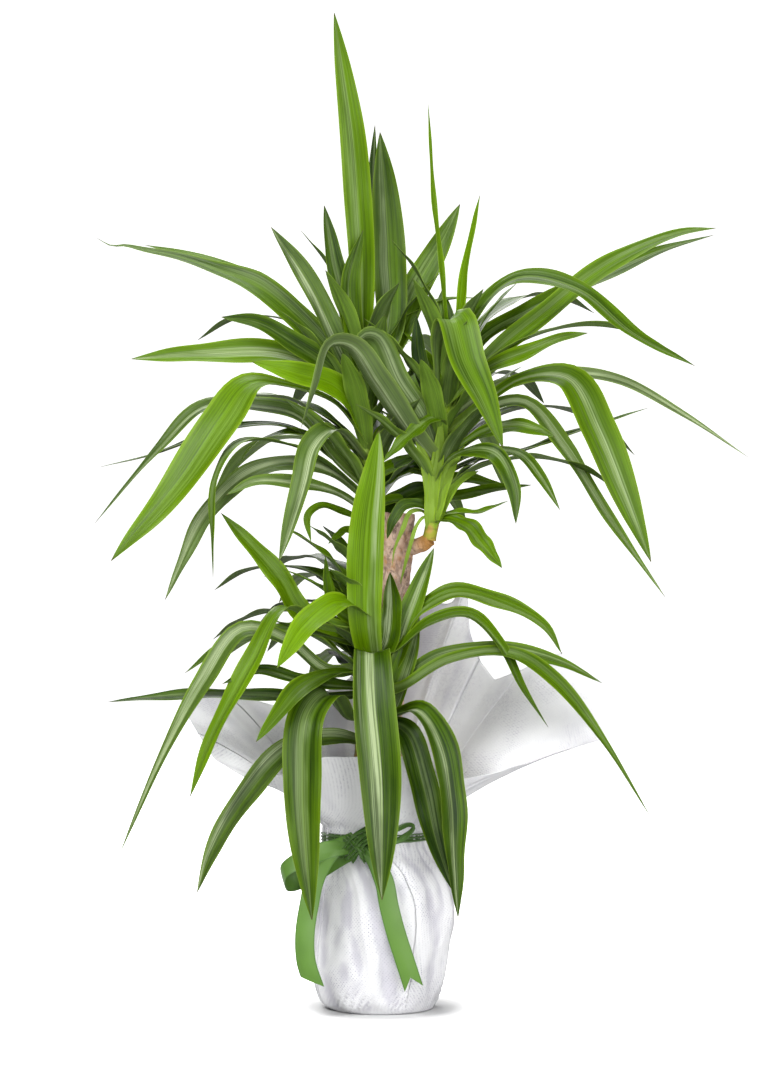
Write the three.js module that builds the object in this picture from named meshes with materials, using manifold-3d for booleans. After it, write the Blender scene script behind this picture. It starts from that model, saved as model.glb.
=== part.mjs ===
// A potted yucca: two canes and three leaf heads in a nursery pot, wrapped in a tied floral sheet.
// Millimetres, +Z up, the viewer on the -Y side. The origin is the middle of the wrapped pot's underside.
import * as THREE from "three";
import { mergeVertices } from "three/addons/utils/BufferGeometryUtils.js";
import Module from "manifold-3d";

const wasm = await Module();
wasm.setup();

// Driving dimensions
const GAP = 0.3; // clearance between pieces that touch
const FUSE_TOLERANCE = 0.15; // how far a fused surface may be simplified
const WHOLE = 0.999; // the least share of a fused solid that hangs together
const SHEET_THICKNESS = 1.2; // the floral sheet with its folds
const POT = { foot: 46, rim: 60, height: 100, wall: 1.6, lip: 3, lipHeight: 10, sides: 28 };
const DRAIN = { count: 6, radius: 4.5, ring: 34, sides: 8 };
const SOIL = { top: 92, crown: 4 }; // its surface above the ground, and how far its middle is heaped
const TALL_CANE = { foot: 19.5, top: 17.5, sides: 12, rings: 14 };
const SHORT_CANE = { foot: 14, top: 13, sides: 10, rings: 6 };
const BARK_RELIEF = 0.05; // how uneven a cane is, as a share of its radius
const BRANCH = { radius: 7, sides: 8, rings: 4 };
const NECK_HEIGHT = 172; // the middle of the ribbon's band
const RIBBON = { width: 19, thickness: 0.9, steps: 6 };
const BLADE = { thickness: 1.9, channel: 0.1, steps: 6, tipFrom: 0.9, tipThickness: 0.5 };
const KNOT = { centre: [-24, 163, -47], size: [24, 14, 24], segments: 12, rows: 8 };
const NECK_SEGMENTS = 24; // chords in a quarter of the ribbon's band
const VIEW = { distance: 3000, height: 467, across: 2 }; // the front view that the leaf routes are read in

const COLOURS = {
  leaf: 0x5f8f1e,
  upperLeaf: 0x557f22,
  bark: 0xa0846a,
  soil: 0x3a2b20,
  pot: 0x2b2b2b,
  sheet: 0xe4e6ea,
  ribbon: 0x74a546,
};

// Points and routes

// A point given as [across, up, depth] in the front view, moved to where it really is in space.
function seen([across, up, depth]) {
  const spread = (VIEW.distance + depth) / VIEW.distance;
  const x = VIEW.across + (across - VIEW.across) * spread;
  return new THREE.Vector3(x, depth, VIEW.height + (up - VIEW.height) * spread);
}

const routeOf = (points) => new THREE.CatmullRomCurve3(points.map(seen));

// The same route with both ends run on by `extra`.
function runOn(route, extra) {
  const points = route.points.map((point) => point.clone());
  points[0].addScaledVector(route.getTangent(0), -extra);
  points.at(-1).addScaledVector(route.getTangent(1), extra);
  return new THREE.CatmullRomCurve3(points);
}

// Solids

function solidOf(geometry) {
  const bare = new THREE.BufferGeometry();
  bare.setAttribute("position", geometry.getAttribute("position"));
  bare.setIndex(geometry.index);
  const merged = mergeVertices(bare, 1e-4);
  return new wasm.Manifold(
    new wasm.Mesh({
      numProp: 3,
      vertProperties: merged.attributes.position.array,
      triVerts: new Uint32Array(merged.index.array),
    }),
  );
}

function geometryOf(solid) {
  const mesh = solid.getMesh();
  const geometry = new THREE.BufferGeometry();
  geometry.setAttribute("position", new THREE.BufferAttribute(mesh.vertProperties, mesh.numProp));
  geometry.setIndex(new THREE.BufferAttribute(mesh.triVerts, 1));
  geometry.computeVertexNormals();
  return geometry;
}

// The largest piece of a fused solid, with no loose scrap and no sealed hollow in it.
function onePiece(solid) {
  const pieces = solid.simplify(FUSE_TOLERANCE).decompose();
  const largest = pieces.reduce((best, piece) => (piece.volume() > best.volume() ? piece : best));
  if (largest.volume() < WHOLE * solid.volume()) throw new Error("a fused piece lies loose");
  return largest;
}

// Closed rings of equal length, joined side by side and closed at both ends.
// Both long faces of a flat ring are split alike, so a thin blade's faces never cross.
function skin(rings) {
  const count = rings[0].length;
  const index = [];
  const at = (ring, i) => ring * count + (i % count);
  for (let ring = 0; ring + 1 < rings.length; ring += 1) {
    for (let i = 0; i < count; i += 1) {
      const [a, b, c, d] = [at(ring, i), at(ring, i + 1), at(ring + 1, i + 1), at(ring + 1, i)];
      if (i % 2 === 0) index.push(a, b, c, a, c, d);
      else index.push(a, b, d, b, c, d);
    }
  }
  const last = rings.length - 1;
  for (let i = 1; i + 1 < count; i += 1) {
    index.push(at(0, 0), at(0, i + 1), at(0, i));
    index.push(at(last, 0), at(last, i), at(last, i + 1));
  }
  const positions = rings.flat().flatMap((point) => [point.x, point.y, point.z]);
  const geometry = new THREE.BufferGeometry();
  geometry.setAttribute("position", new THREE.Float32BufferAttribute(positions, 3));
  geometry.setIndex(index);
  return geometry;
}

// The frames along a route that turn no more than it does, rolled so that the middle one faces `face`,
// with `twist` from end to end.
function framesAlong(route, steps, face, twist = 0) {
  const { tangents, normals, binormals } = route.computeFrenetFrames(steps, false);
  const middle = steps / 2;
  const roll = Math.atan2(face.dot(binormals[middle]), face.dot(normals[middle]));
  return tangents.map((tangent, i) => {
    const angle = roll + twist * (i / steps - 0.5);
    const up = normals[i].clone().multiplyScalar(Math.cos(angle));
    up.addScaledVector(binormals[i], Math.sin(angle));
    const side = new THREE.Vector3().crossVectors(up, tangent);
    return { point: route.getPointAt(i / steps), side, up };
  });
}

const place = ({ point, side, up }, [across, above]) =>
  point.clone().addScaledVector(side, across).addScaledVector(up, above);

// A solid swept along a route; section(share) gives the [across, above] points on the way.
function sweep(route, steps, face, section, twist = 0) {
  const frames = framesAlong(route, steps, face, twist);
  return solidOf(skin(frames.map((frame, i) => section(i / steps).map((p) => place(frame, p)))));
}

function circle(radius, sides, rough = 0, turn = 0) {
  return Array.from({ length: sides }, (_, i) => {
    const angle = (2 * Math.PI * i) / sides;
    const size = radius * (1 + rough * Math.sin(3 * angle + turn) * Math.cos(5 * angle - 2 * turn));
    return [size * Math.cos(angle), size * Math.sin(angle)];
  });
}

const FRONT = new THREE.Vector3(0, -1, 0);
const UP = new THREE.Vector3(0, 0, 1);

// Canes

const tallRoute = routeOf([
  [-6, 30, 17], [-3, 150, 17], [2, 300, 17], [8, 400, 15], [15, 494, 12],
]);
const shortRoute = routeOf([[-12, 30, -21], [-10, 150, -21], [-8, 292, -24]]);

function cane(route, size, grow = 0) {
  const radius = (share) => size.foot + (size.top - size.foot) * share + grow;
  return sweep(runOn(route, grow), size.rings, FRONT, (share) =>
    circle(radius(share), size.sides, BARK_RELIEF, share * size.rings),
  );
}

// The right shoot's short branch, grown out of the cane below its cut top.
const branchRoute = routeOf([[16, 460, 8], [34, 461, 0], [47, 468, -6]]);
const branch = (grow = 0) => sweep(runOn(branchRoute, grow), BRANCH.rings, FRONT, () =>
  circle(BRANCH.radius + grow, BRANCH.sides),
);

const tallCane = cane(tallRoute, TALL_CANE).add(branch());
const shortCane = cane(shortRoute, SHORT_CANE);
const aroundTallCane = cane(tallRoute, TALL_CANE, GAP).add(branch(GAP));
const aroundShortCane = cane(shortRoute, SHORT_CANE, GAP);

// Leaves

// A blade's half width along its length: a clasping foot, the full width past the middle, a sharp tip.
const HALF_WIDTHS = [0.2, 0.34, 0.45, 0.5, 0.46, 0.3, 0.02];

function bladeSection(width) {
  return (share) => {
    const half = width * HALF_WIDTHS[Math.round(share * BLADE.steps)];
    const thick = (BLADE.thickness / 2) * (share > BLADE.tipFrom ? BLADE.tipThickness : 1);
    const raised = half * 2 * BLADE.channel;
    return [[-half, raised], [0, -thick], [half, raised], [0, thick]];
  };
}

// A leaf from a share of the way up its shoot, through points of the front view. `face` is how far
// its upper face is turned to the viewer halfway along: 90 fully, 0 edge on, -90 fully away.
function leaf(shoot, [share, width, face, twist, ...points]) {
  const root = shoot.getPointAt(share);
  const route = new THREE.CatmullRomCurve3([root, ...points.map(seen)]);
  const halfway = route.getTangentAt(0.5);
  const inward = new THREE.Vector3(-halfway.z, 0, halfway.x);
  if (halfway.x < 0) inward.negate();
  const turned = inward.normalize().multiplyScalar(Math.cos(THREE.MathUtils.degToRad(face)));
  turned.addScaledVector(FRONT, Math.sin(THREE.MathUtils.degToRad(face)));
  return sweep(route, BLADE.steps, turned, bladeSection(width), THREE.MathUtils.degToRad(twist));
}

// Leaves on the side away from the viewer, placed by the plant's golden angle and arching over.
const GOLDEN = 0.618034;
const LENGTHS = { step: 0.7549, least: 0.85, range: 0.3 };
const STRETCHES = 5;

function backLeaf(shoot, head, i) {
  const spread = (i * GOLDEN) % 1;
  const azimuth = THREE.MathUtils.degToRad(head.from + (head.to - head.from) * spread);
  const share = head.low + ((head.high - head.low) * (i + 0.5)) / head.count;
  const reach = head.reach * (LENGTHS.least + LENGTHS.range * ((i * LENGTHS.step) % 1));
  const out = new THREE.Vector3(Math.cos(azimuth), Math.sin(azimuth), 0);
  const point = shoot.getPointAt(share);
  const points = [point.clone()];
  for (let k = 0; k < STRETCHES; k += 1) {
    const rise = THREE.MathUtils.degToRad(head.rise + head.steeper * share - head.droop * k);
    point.addScaledVector(out, (reach / STRETCHES) * Math.cos(rise));
    point.z += (reach / STRETCHES) * Math.sin(rise);
    points.push(point.clone());
  }
  const route = new THREE.CatmullRomCurve3(points);
  return sweep(route, BLADE.steps, UP, bladeSection(head.width));
}

const CORE = { sides: 8, rings: 6 };

// A shoot's core tapers upwards, and every leaf's foot is sunk in it.
function headOf(shoot, core, leaves, back, around) {
  const taper = (share) => circle(core.foot + (core.tip - core.foot) * share, CORE.sides);
  const blades = leaves.map((row) => leaf(shoot, row));
  for (let i = 0; i < back.count; i += 1) blades.push(backLeaf(shoot, back, i));
  const fused = wasm.Manifold.union([sweep(shoot, CORE.rings, FRONT, taper), ...blades]);
  return onePiece(around.reduce((solid, piece) => solid.subtract(piece), fused));
}

// Each row: share of the way up the shoot, width, face, twist, then the points [across, up, depth].
const UPPER_LEFT = [
  [0.95, 30, 90, 10, [-20, 677, 8], [-21, 747, 4], [-25, 807, 0], [-31, 877, -4], [-49, 995, -8]],
  [0.93, 22, 70, 0, [-29, 672, 2], [-33, 727, -8], [-20, 777, -14]],
  [0.9, 14, 80, 0, [-15, 700, 22], [-12, 800, 32], [-8, 883, 36]],
  [0.92, 34, 85, 0, [6, 677, 20], [6, 747, 26], [3, 805, 30], [-3, 875, 33]],
  [0.85, 22, 70, 0, [-33, 687, 0], [-48, 742, -6], [-59, 802, -10]],
  [0.82, 25, 60, 0, [-46, 665, -4], [-73, 722, -15], [-112, 780, -25]],
  [0.8, 28, 60, -30, [-58, 660, 16], [-123, 719, 28], [-200, 747, 40], [-286, 769, 46]],
  [0.86, 18, 45, 0, [-50, 664, 34], [-110, 715, 52], [-170, 745, 66], [-238, 762, 72]],
  [0.72, 22, 60, 0, [-50, 635, -4], [-90, 664, -22], [-125, 684, -40], [-162, 690, -52]],
  [0.68, 28, 60, 0, [-55, 630, 2], [-100, 652, 0], [-183, 653, -10], [-252, 648, -20]],
  [0.6, 44, 62, 0, [-50, 615, -8], [-100, 630, -30], [-133, 628, -48], [-160, 588, -62],
    [-205, 522, -78], [-272, 446, -92]],
  [0.35, 26, 35, 20, [-48, 548, 6], [-85, 592, -2], [-130, 602, -10], [-180, 600, -18],
    [-223, 560, -24], [-288, 484, -30]],
  [0.4, 18, 15, 0, [-50, 548, 20], [-93, 579, 32], [-143, 581, 40], [-231, 552, 46], [-283, 540, 48]],
  [0.55, 16, 20, 0, [-60, 565, 20], [-98, 574, 26], [-130, 560, 30], [-153, 527, 32]],
  [0.3, 16, 10, 40, [-48, 537, -12], [-90, 561, -40], [-145, 563, -72], [-166, 530, -88],
    [-170, 429, -100]],
  [0.28, 26, 50, 20, [-50, 532, -10], [-95, 543, -30], [-138, 529, -50], [-175, 492, -62],
    [-218, 407, -76]],
  [0.2, 18, 50, 0, [-45, 512, -16], [-88, 523, -50], [-128, 525, -85], [-157, 512, -110]],
  [0.5, 22, 75, 0, [-50, 577, -34], [-72, 560, -66], [-82, 522, -84], [-104, 445, -96]],
  [0.16, 10, 40, 0, [-42, 495, -6], [-62, 501, -16], [-75, 491, -22], [-72, 465, -26]],
  [0.1, 10, 40, 0, [-38, 476, 4], [-44, 472, 0], [-55, 463, -4]],
  [0.88, 24, 85, 0, [9, 662, 26], [32, 717, 36], [57, 762, 44], [77, 803, 50]],
  [0.95, 14, 20, 0, [10, 680, 30], [40, 700, 36], [70, 708, 40], [97, 709, 44]],
  [0.25, 18, 40, 0, [10, 506, 30], [60, 508, 42], [100, 516, 44], [149, 522, 42]],
  [0.4, 20, 40, 0, [14, 540, 34], [60, 529, 54], [95, 526, 60], [130, 518, 62]],
];

const UPPER_RIGHT = [
  [0.96, 18, 25, 0, [62, 687, 2], [57, 745, 6], [50, 807, 8], [45, 904, 10]],
  [0.94, 18, 25, 0, [79, 697, -2], [84, 740, -2], [97, 812, -2]],
  [0.9, 22, 55, 0, [92, 690, -12], [134, 729, -24], [197, 717, -40], [250, 674, -52], [312, 641, -60]],
  [0.75, 24, 60, -20, [107, 648, 6], [160, 692, 20], [230, 745, 34], [297, 774, 44], [334, 779, 48]],
  [0.85, 22, 50, -30, [99, 668, 26], [150, 697, 50], [220, 730, 72], [282, 757, 84], [331, 772, 90]],
  [0.78, 20, 55, 0, [100, 634, -24], [147, 655, -60], [177, 668, -84], [205, 674, -104]],
  [0.6, 38, 75, 0, [56, 628, -26], [58, 668, -38], [70, 688, -54], [84, 645, -74],
    [102, 607, -86], [120, 559, -94]],
  [0.6, 40, 68, 0, [100, 602, -12], [140, 628, -22], [185, 628, -34], [214, 577, -46],
    [240, 515, -56], [268, 445, -64]],
  [0.68, 18, 45, 0, [110, 616, 16], [177, 632, 26], [237, 626, 30], [300, 592, 28], [365, 550, 22]],
  [0.5, 24, 40, 20, [92, 590, 4], [140, 604, 10], [180, 560, 8], [225, 490, 2], [282, 410, -6]],
  [0.35, 16, 15, 0, [90, 545, 12], [130, 553, 20], [200, 577, 26], [265, 599, 30]],
  [0.45, 20, 50, 0, [90, 568, -16], [125, 580, -46], [150, 578, -70], [172, 570, -92]],
  [0.3, 20, 50, 20, [62, 542, -26], [85, 555, -48], [112, 552, -66], [130, 520, -74], [133, 483, -78]],
  [0.38, 16, 40, 0, [90, 552, -24], [135, 553, -52], [157, 530, -62], [177, 497, -68]],
  [0.12, 12, 20, 0, [70, 494, -8], [97, 495, -10], [125, 506, -12]],
  [0.1, 22, 55, 10, [62, 487, -12], [84, 480, -24], [100, 462, -34], [119, 439, -42]],
  [0.62, 20, 45, 10, [52, 588, -28], [30, 574, -48], [0, 545, -62]],
  [0.42, 30, -55, 0, [28, 575, -34], [-6, 625, -62], [-32, 661, -84], [-52, 662, -92], [-66, 622, -96],
    [-82, 579, -98]],
  [0.4, 30, -80, 0, [38, 585, -22], [12, 625, -32], [-8, 668, -38], [-20, 668, -44], [-22, 638, -46]],
  [0.7, 16, 85, 0, [48, 610, -6], [36, 650, -6], [33, 692, -4]],
];

const LOWER = [
  [0.75, 24, 60, 0, [-80, 392, -28], [-105, 430, -34], [-162, 494, -42]],
  [0.8, 14, 60, 0, [-50, 402, -48], [-56, 425, -56], [-58, 451, -60]],
  [0.5, 36, 85, 0, [-17, 380, -56], [-18, 430, -64], [-15, 490, -74], [-9, 535, -82], [-4, 577, -88]],
  [0.4, 42, 88, 0, [-10, 330, -50], [-11, 354, -72], [-9, 307, -100], [-2, 220, -116], [-1, 107, -122]],
  [0.6, 22, 70, 0, [6, 365, -46], [10, 400, -48], [7, 435, -46]],
  [0.5, 24, 75, 0, [10, 345, -40], [27, 395, -44], [51, 459, -40]],
  [0.2, 26, 75, 0, [6, 300, -40], [18, 335, -44], [36, 392, -46]],
  [0.6, 24, 50, 10, [-55, 334, -34], [-98, 366, -46], [-140, 376, -52], [-178, 325, -60],
    [-220, 250, -66], [-263, 154, -68]],
  [0.7, 16, 45, 0, [-90, 376, -26], [-153, 364, -26], [-198, 334, -24]],
  [0.8, 28, 40, -20, [-60, 378, -58], [-98, 398, -86], [-130, 345, -112], [-170, 270, -130],
    [-193, 210, -138]],
  [0.4, 20, 30, 0, [-53, 308, -34], [-140, 311, -44], [-203, 311, -48], [-275, 305, -48]],
  [0.85, 30, 60, 0, [-22, 396, -56], [-45, 404, -82], [-78, 380, -116], [-106, 339, -142]],
  [0.45, 16, 50, 0, [-45, 322, -50], [-85, 328, -78], [-125, 337, -100], [-161, 323, -116]],
  [0.5, 26, 45, -10, [-45, 334, -62], [-80, 320, -98], [-105, 292, -122], [-127, 265, -138]],
  [0.06, 28, 55, 10, [-50, 268, -48], [-93, 257, -72], [-135, 212, -86], [-170, 155, -96],
    [-186, 114, -100]],
  [0.25, 38, 82, 0, [-36, 288, -46], [-56, 312, -78], [-76, 290, -110], [-80, 225, -126],
    [-77, 155, -130], [-71, 87, -132]],
  [0.75, 20, 50, 0, [10, 362, -38], [38, 398, -46], [72, 415, -50], [117, 405, -54], [160, 383, -56],
    [179, 353, -58]],
  [0.7, 22, 35, 0, [12, 355, -50], [45, 382, -62], [85, 391, -72], [117, 362, -82], [140, 318, -88],
    [165, 280, -90]],
  [0.5, 18, 50, 0, [14, 325, -42], [57, 350, -52], [117, 357, -60], [177, 344, -66], [219, 324, -70]],
  [0.45, 24, 35, 0, [16, 316, -58], [67, 345, -74], [127, 352, -84], [170, 326, -90], [220, 265, -96],
    [267, 191, -100]],
  [0.3, 30, 60, 0, [10, 290, -54], [36, 296, -80], [58, 262, -94], [68, 207, -104],
    [71, 147, -108], [75, 89, -110]],
  [0.12, 28, 75, 0, [4, 282, -52], [24, 272, -76], [40, 222, -86], [52, 170, -90], [69, 117, -92]],
];

const shoots = {
  upperLeft: routeOf([[8, 455, 10], [-10, 484, 12], [-15, 527, 12], [-17, 567, 12], [-19, 640, 12]]),
  upperRight: routeOf([[46, 467, -6], [50, 487, -6], [54, 517, -6], [60, 560, -5], [68, 640, -4]]),
  lower: routeOf([[-8, 250, -24], [-8, 300, -26], [-8, 350, -30], [-9, 404, -36]]),
};

const BACK = {
  upperLeft: { count: 8, from: 60, to: 175, low: 0.2, high: 0.9, reach: 270, rise: 25, steeper: 45,
    droop: 20, width: 26 },
  upperRight: { count: 8, from: 5, to: 115, low: 0.2, high: 0.9, reach: 270, rise: 25, steeper: 45,
    droop: 20, width: 26 },
  lower: { count: 8, from: 112, to: 150, low: 0.4, high: 0.95, reach: 240, rise: 22, steeper: 22,
    droop: 16, width: 26 },
};

const CORES = {
  upper: { foot: 7, tip: 4 },
  lower: { foot: 21, tip: 7 },
};

// Pot and soil

const lathe = (profile, segments) =>
  solidOf(new THREE.LatheGeometry(profile.map(([r, z]) => new THREE.Vector2(r, z)), segments)
    .rotateX(Math.PI / 2));

const POT_FOOT = SHEET_THICKNESS + GAP;
const wallAt = (height) => POT.foot + ((POT.rim - POT.foot) * height) / POT.height;

function nurseryPot() {
  const inner = (height) => wallAt(height) - POT.wall;
  const cup = lathe([
    [0, POT_FOOT],
    [POT.foot, POT_FOOT],
    [wallAt(POT.height - POT.lipHeight), POT_FOOT + POT.height - POT.lipHeight],
    [POT.rim + POT.lip, POT_FOOT + POT.height - POT.lipHeight],
    [POT.rim + POT.lip, POT_FOOT + POT.height],
    [inner(POT.height), POT_FOOT + POT.height],
    [inner(POT.wall), POT_FOOT + POT.wall],
    [0, POT_FOOT + POT.wall],
  ], POT.sides);
  let pot = cup;
  for (let i = 0; i < DRAIN.count; i += 1) {
    const angle = (2 * Math.PI * (i + 0.5)) / DRAIN.count;
    const hole = new THREE.CylinderGeometry(DRAIN.radius, DRAIN.radius, 4 * POT.wall, DRAIN.sides)
      .rotateX(Math.PI / 2)
      .translate(DRAIN.ring * Math.cos(angle), DRAIN.ring * Math.sin(angle), POT_FOOT);
    pot = pot.subtract(solidOf(hole));
  }
  return pot;
}

function pottingSoil() {
  const foot = POT_FOOT + POT.wall + GAP;
  const inside = (z) => wallAt(z - POT_FOOT) - POT.wall - GAP;
  const fill = lathe([
    [0, foot],
    [inside(foot), foot],
    [inside(SOIL.top), SOIL.top],
    [0, SOIL.top + SOIL.crown],
  ], POT.sides);
  return fill.subtract(aroundTallCane).subtract(aroundShortCane);
}

// Floral sheet

// Rings up the wrapped pot: height, centre across, half width, half depth.
const BODY_RINGS = [
  [0, -2, 52, 52],
  [7, -5, 58, 57],
  [30, -4, 65, 64],
  [92, 0, 69, 68],
  [112, 2, 66, 65],
  [132, 0, 57, 56],
  [162, -7, 44.5, 43],
  [182, -7, 44.5, 43],
];

// The flared edge above the tie, once round from the right corner: [across, up, depth].
const RIM = [
  [234, 271, -35], [222, 322, -6], [185, 357, 28], [142, 339, 40], [112, 327, 46], [97, 347, 54],
  [87, 375, 60], [84, 423, 66], [68, 403, 70], [38, 404, 74], [5, 360, 80], [-40, 320, 86],
  [-90, 296, 90], [-140, 310, 80], [-180, 318, 52], [-203, 307, 20], [-193, 287, -4],
  [-168, 247, -22], [-138, 229, -32], [-100, 232, -44], [-61, 250, -58], [-18, 250, -62],
  [15, 252, -58], [45, 240, -54], [79, 228, -56], [117, 236, -54], [177, 256, -50],
];
const SHEET = { around: 40, flareRows: 3, startAngle: -20 };
const FLARE = { knee: 0.4, lift: 0.12, rimInset: 0.2 };

// The ring of points at each height of the sheet's outer or inner face, inset by `inset`.
function sheetRings(inset) {
  const angle = (i) => THREE.MathUtils.degToRad(SHEET.startAngle + (360 * i) / SHEET.around);
  const ring = ([z, cx, rx, ry]) =>
    Array.from({ length: SHEET.around }, (_, i) =>
      new THREE.Vector3(cx + (rx - inset) * Math.cos(angle(i)), (ry - inset) * Math.sin(angle(i)), z),
    );
  return BODY_RINGS.map(ring);
}

// From the neck outwards: out and up, then bent over towards the rim.
function flareRings(neck, inset) {
  const rim = new THREE.CatmullRomCurve3(RIM.map(seen), true);
  const rings = Array.from({ length: SHEET.flareRows }, () => []);
  neck.forEach((foot, i) => {
    const edge = rim.getPointAt(i / SHEET.around);
    const middle = new THREE.Vector3().lerpVectors(foot, edge, FLARE.knee);
    middle.z += FLARE.lift * foot.distanceTo(edge);
    const line = new THREE.QuadraticBezierCurve3(foot, middle, edge);
    for (let row = 0; row < SHEET.flareRows; row += 1) {
      const share = (row + 1) / SHEET.flareRows;
      const point = line.getPoint(share);
      const along = line.getTangent(share);
      const out = new THREE.Vector3(foot.x - BODY_RINGS.at(-1)[1], foot.y, 0).normalize();
      const across = out.addScaledVector(along, -out.dot(along)).normalize();
      rings[row].push(point.addScaledVector(across, -inset));
    }
  });
  return rings;
}

function wrapSheet() {
  const outer = sheetRings(0);
  const inner = sheetRings(SHEET_THICKNESS);
  inner[0].forEach((point) => { point.z = SHEET_THICKNESS; });
  const outerFlare = flareRings(outer.at(-1), 0);
  const innerFlare = flareRings(inner.at(-1), SHEET_THICKNESS * FLARE.rimInset);
  return solidOf(skin([...outer, ...outerFlare, ...innerFlare.reverse(), ...inner.reverse()]));
}

// Ribbon

// A flat strip along a route, its face turned to the viewer at the start.
function strip(points, twist = 0) {
  const route = routeOf(points);
  const half = RIBBON.width / 2;
  const thick = RIBBON.thickness / 2;
  const section = [[-half, -thick], [half, -thick], [half, thick], [-half, thick]];
  return sweep(route, RIBBON.steps, FRONT, () => section, THREE.MathUtils.degToRad(twist));
}

// A solid of the neck's ellipse, larger all round by `grow`.
function neckSolid(grow, height) {
  const [, cx, rx, ry] = BODY_RINGS.at(-1);
  const outline = new THREE.Shape().absellipse(cx, 0, rx + grow, ry + grow, 0, 2 * Math.PI);
  const extrusion = { depth: height, bevelEnabled: false, curveSegments: NECK_SEGMENTS };
  const block = new THREE.ExtrudeGeometry(outline, extrusion);
  return solidOf(block.translate(0, 0, NECK_HEIGHT - height / 2));
}

// Each length of ribbon from the knot: its points, and its twist from end to end in degrees.
const LENGTHS_OF_RIBBON = {
  leftTail: [[[-26, 168, -52], [-50, 160, -60], [-66, 130, -74], [-72, 100, -82], [-76, 60, -84],
    [-66, 22, -82]], 15],
  rightTail: [[[-24, 160, -52], [-14, 140, -66], [-4, 104, -76], [8, 64, -78], [26, 20, -78]], -10],
  leftLoop: [[[-26, 162, -54], [-48, 158, -66], [-76, 147, -76], [-98, 138, -74], [-92, 128, -62],
    [-64, 136, -58], [-38, 150, -54]], 0],
  rightLoop: [[[-20, 166, -56], [4, 176, -62], [24, 186, -64], [30, 178, -62], [4, 164, -58],
    [-18, 160, -54]], 0],
};

function ribbon() {
  const knot = new THREE.SphereGeometry(0.5, KNOT.segments, KNOT.rows).scale(...KNOT.size)
    .translate(...seen(KNOT.centre).toArray());
  const lengths = Object.values(LENGTHS_OF_RIBBON).map(([points, twist]) => strip(points, twist));
  const band = neckSolid(GAP + RIBBON.thickness, RIBBON.width);
  const fused = wasm.Manifold.union([band, solidOf(knot), ...lengths]);
  const wrappedPot = solidOf(skin(sheetRings(-GAP)));
  return onePiece(fused.subtract(neckSolid(GAP, 3 * RIBBON.width)).subtract(wrappedPot));
}

// The whole plant

const plant = new THREE.Group();

function add(name, solid, colour, roughness) {
  const material = new THREE.MeshStandardMaterial({ color: colour, roughness, metalness: 0 });
  const mesh = new THREE.Mesh(geometryOf(solid), material);
  mesh.name = name;
  plant.add(mesh);
}

add("wrap_sheet", wrapSheet(), COLOURS.sheet, 0.75);
add("ribbon", ribbon(), COLOURS.ribbon, 0.35);
add("nursery_pot", nurseryPot(), COLOURS.pot, 0.45);
add("potting_soil", pottingSoil(), COLOURS.soil, 0.95);
add("tall_cane", tallCane, COLOURS.bark, 0.9);
add("short_cane", shortCane, COLOURS.bark, 0.9);
add("upper_left_head",
  headOf(shoots.upperLeft, CORES.upper, UPPER_LEFT, BACK.upperLeft, [aroundTallCane]),
  COLOURS.upperLeaf, 0.4);
add("upper_right_head",
  headOf(shoots.upperRight, CORES.upper, UPPER_RIGHT, BACK.upperRight, [aroundTallCane]),
  COLOURS.upperLeaf, 0.4);
add("lower_head",
  headOf(shoots.lower, CORES.lower, LOWER, BACK.lower, [aroundShortCane, aroundTallCane]),
  COLOURS.leaf, 0.4);

export default plant;
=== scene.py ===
import math

import bmesh
import bpy
import numpy as np
from bpy.props import FloatProperty, FloatVectorProperty, IntProperty, PointerProperty
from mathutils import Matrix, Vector, noise


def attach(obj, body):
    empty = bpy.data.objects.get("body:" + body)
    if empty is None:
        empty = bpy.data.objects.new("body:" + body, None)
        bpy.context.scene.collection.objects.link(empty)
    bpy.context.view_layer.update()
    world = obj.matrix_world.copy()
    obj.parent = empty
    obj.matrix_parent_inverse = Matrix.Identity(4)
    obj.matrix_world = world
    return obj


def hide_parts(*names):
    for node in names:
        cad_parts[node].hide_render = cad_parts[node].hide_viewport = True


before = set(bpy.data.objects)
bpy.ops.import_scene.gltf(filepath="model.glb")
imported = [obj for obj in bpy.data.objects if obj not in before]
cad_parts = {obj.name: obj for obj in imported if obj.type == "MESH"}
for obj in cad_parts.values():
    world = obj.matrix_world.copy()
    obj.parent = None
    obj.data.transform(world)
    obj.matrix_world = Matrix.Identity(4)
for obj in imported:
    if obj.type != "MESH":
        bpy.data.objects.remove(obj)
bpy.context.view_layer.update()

bl_info = {
    "name": "Potted Yucca",
    "version": (1, 0, 0),
    "blender": (4, 5, 0),
    "location": "View3D > Sidebar > Yucca",
    "description": "Grows a two-cane yucca in its pot, wrapped in a tied floral sheet",
    "category": "Add Mesh",
}

# The tables below are in millimetres, as the part's source is. Meshes are written in metres.
METRE = 0.001
FRONT = np.array([0.0, -1.0, 0.0])
UP = np.array([0.0, 0.0, 1.0])
TAU = 2.0 * math.pi
# Shares that spread a row of things evenly: the golden one for angles, another one for lengths
GOLDEN, EVEN = 0.618034, 0.7549
# Steps along every route
STATIONS = 240
# The camera that the tables are read by
VIEW_DISTANCE, VIEW_HEIGHT, VIEW_ACROSS = 3000.0, 467.0, 2.0

# Canes, each a route of (across, up, depth) in the front view
TALL_CANE = [(-6, 30, 17), (-3, 150, 17), (2, 300, 17), (8, 400, 15), (15, 494, 12)]
SHORT_CANE = [(-12, 30, -21), (-10, 150, -21), (-8, 292, -24)]
BRANCH = [(16, 460, 8), (34, 461, 0), (47, 468, -6)]

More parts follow.
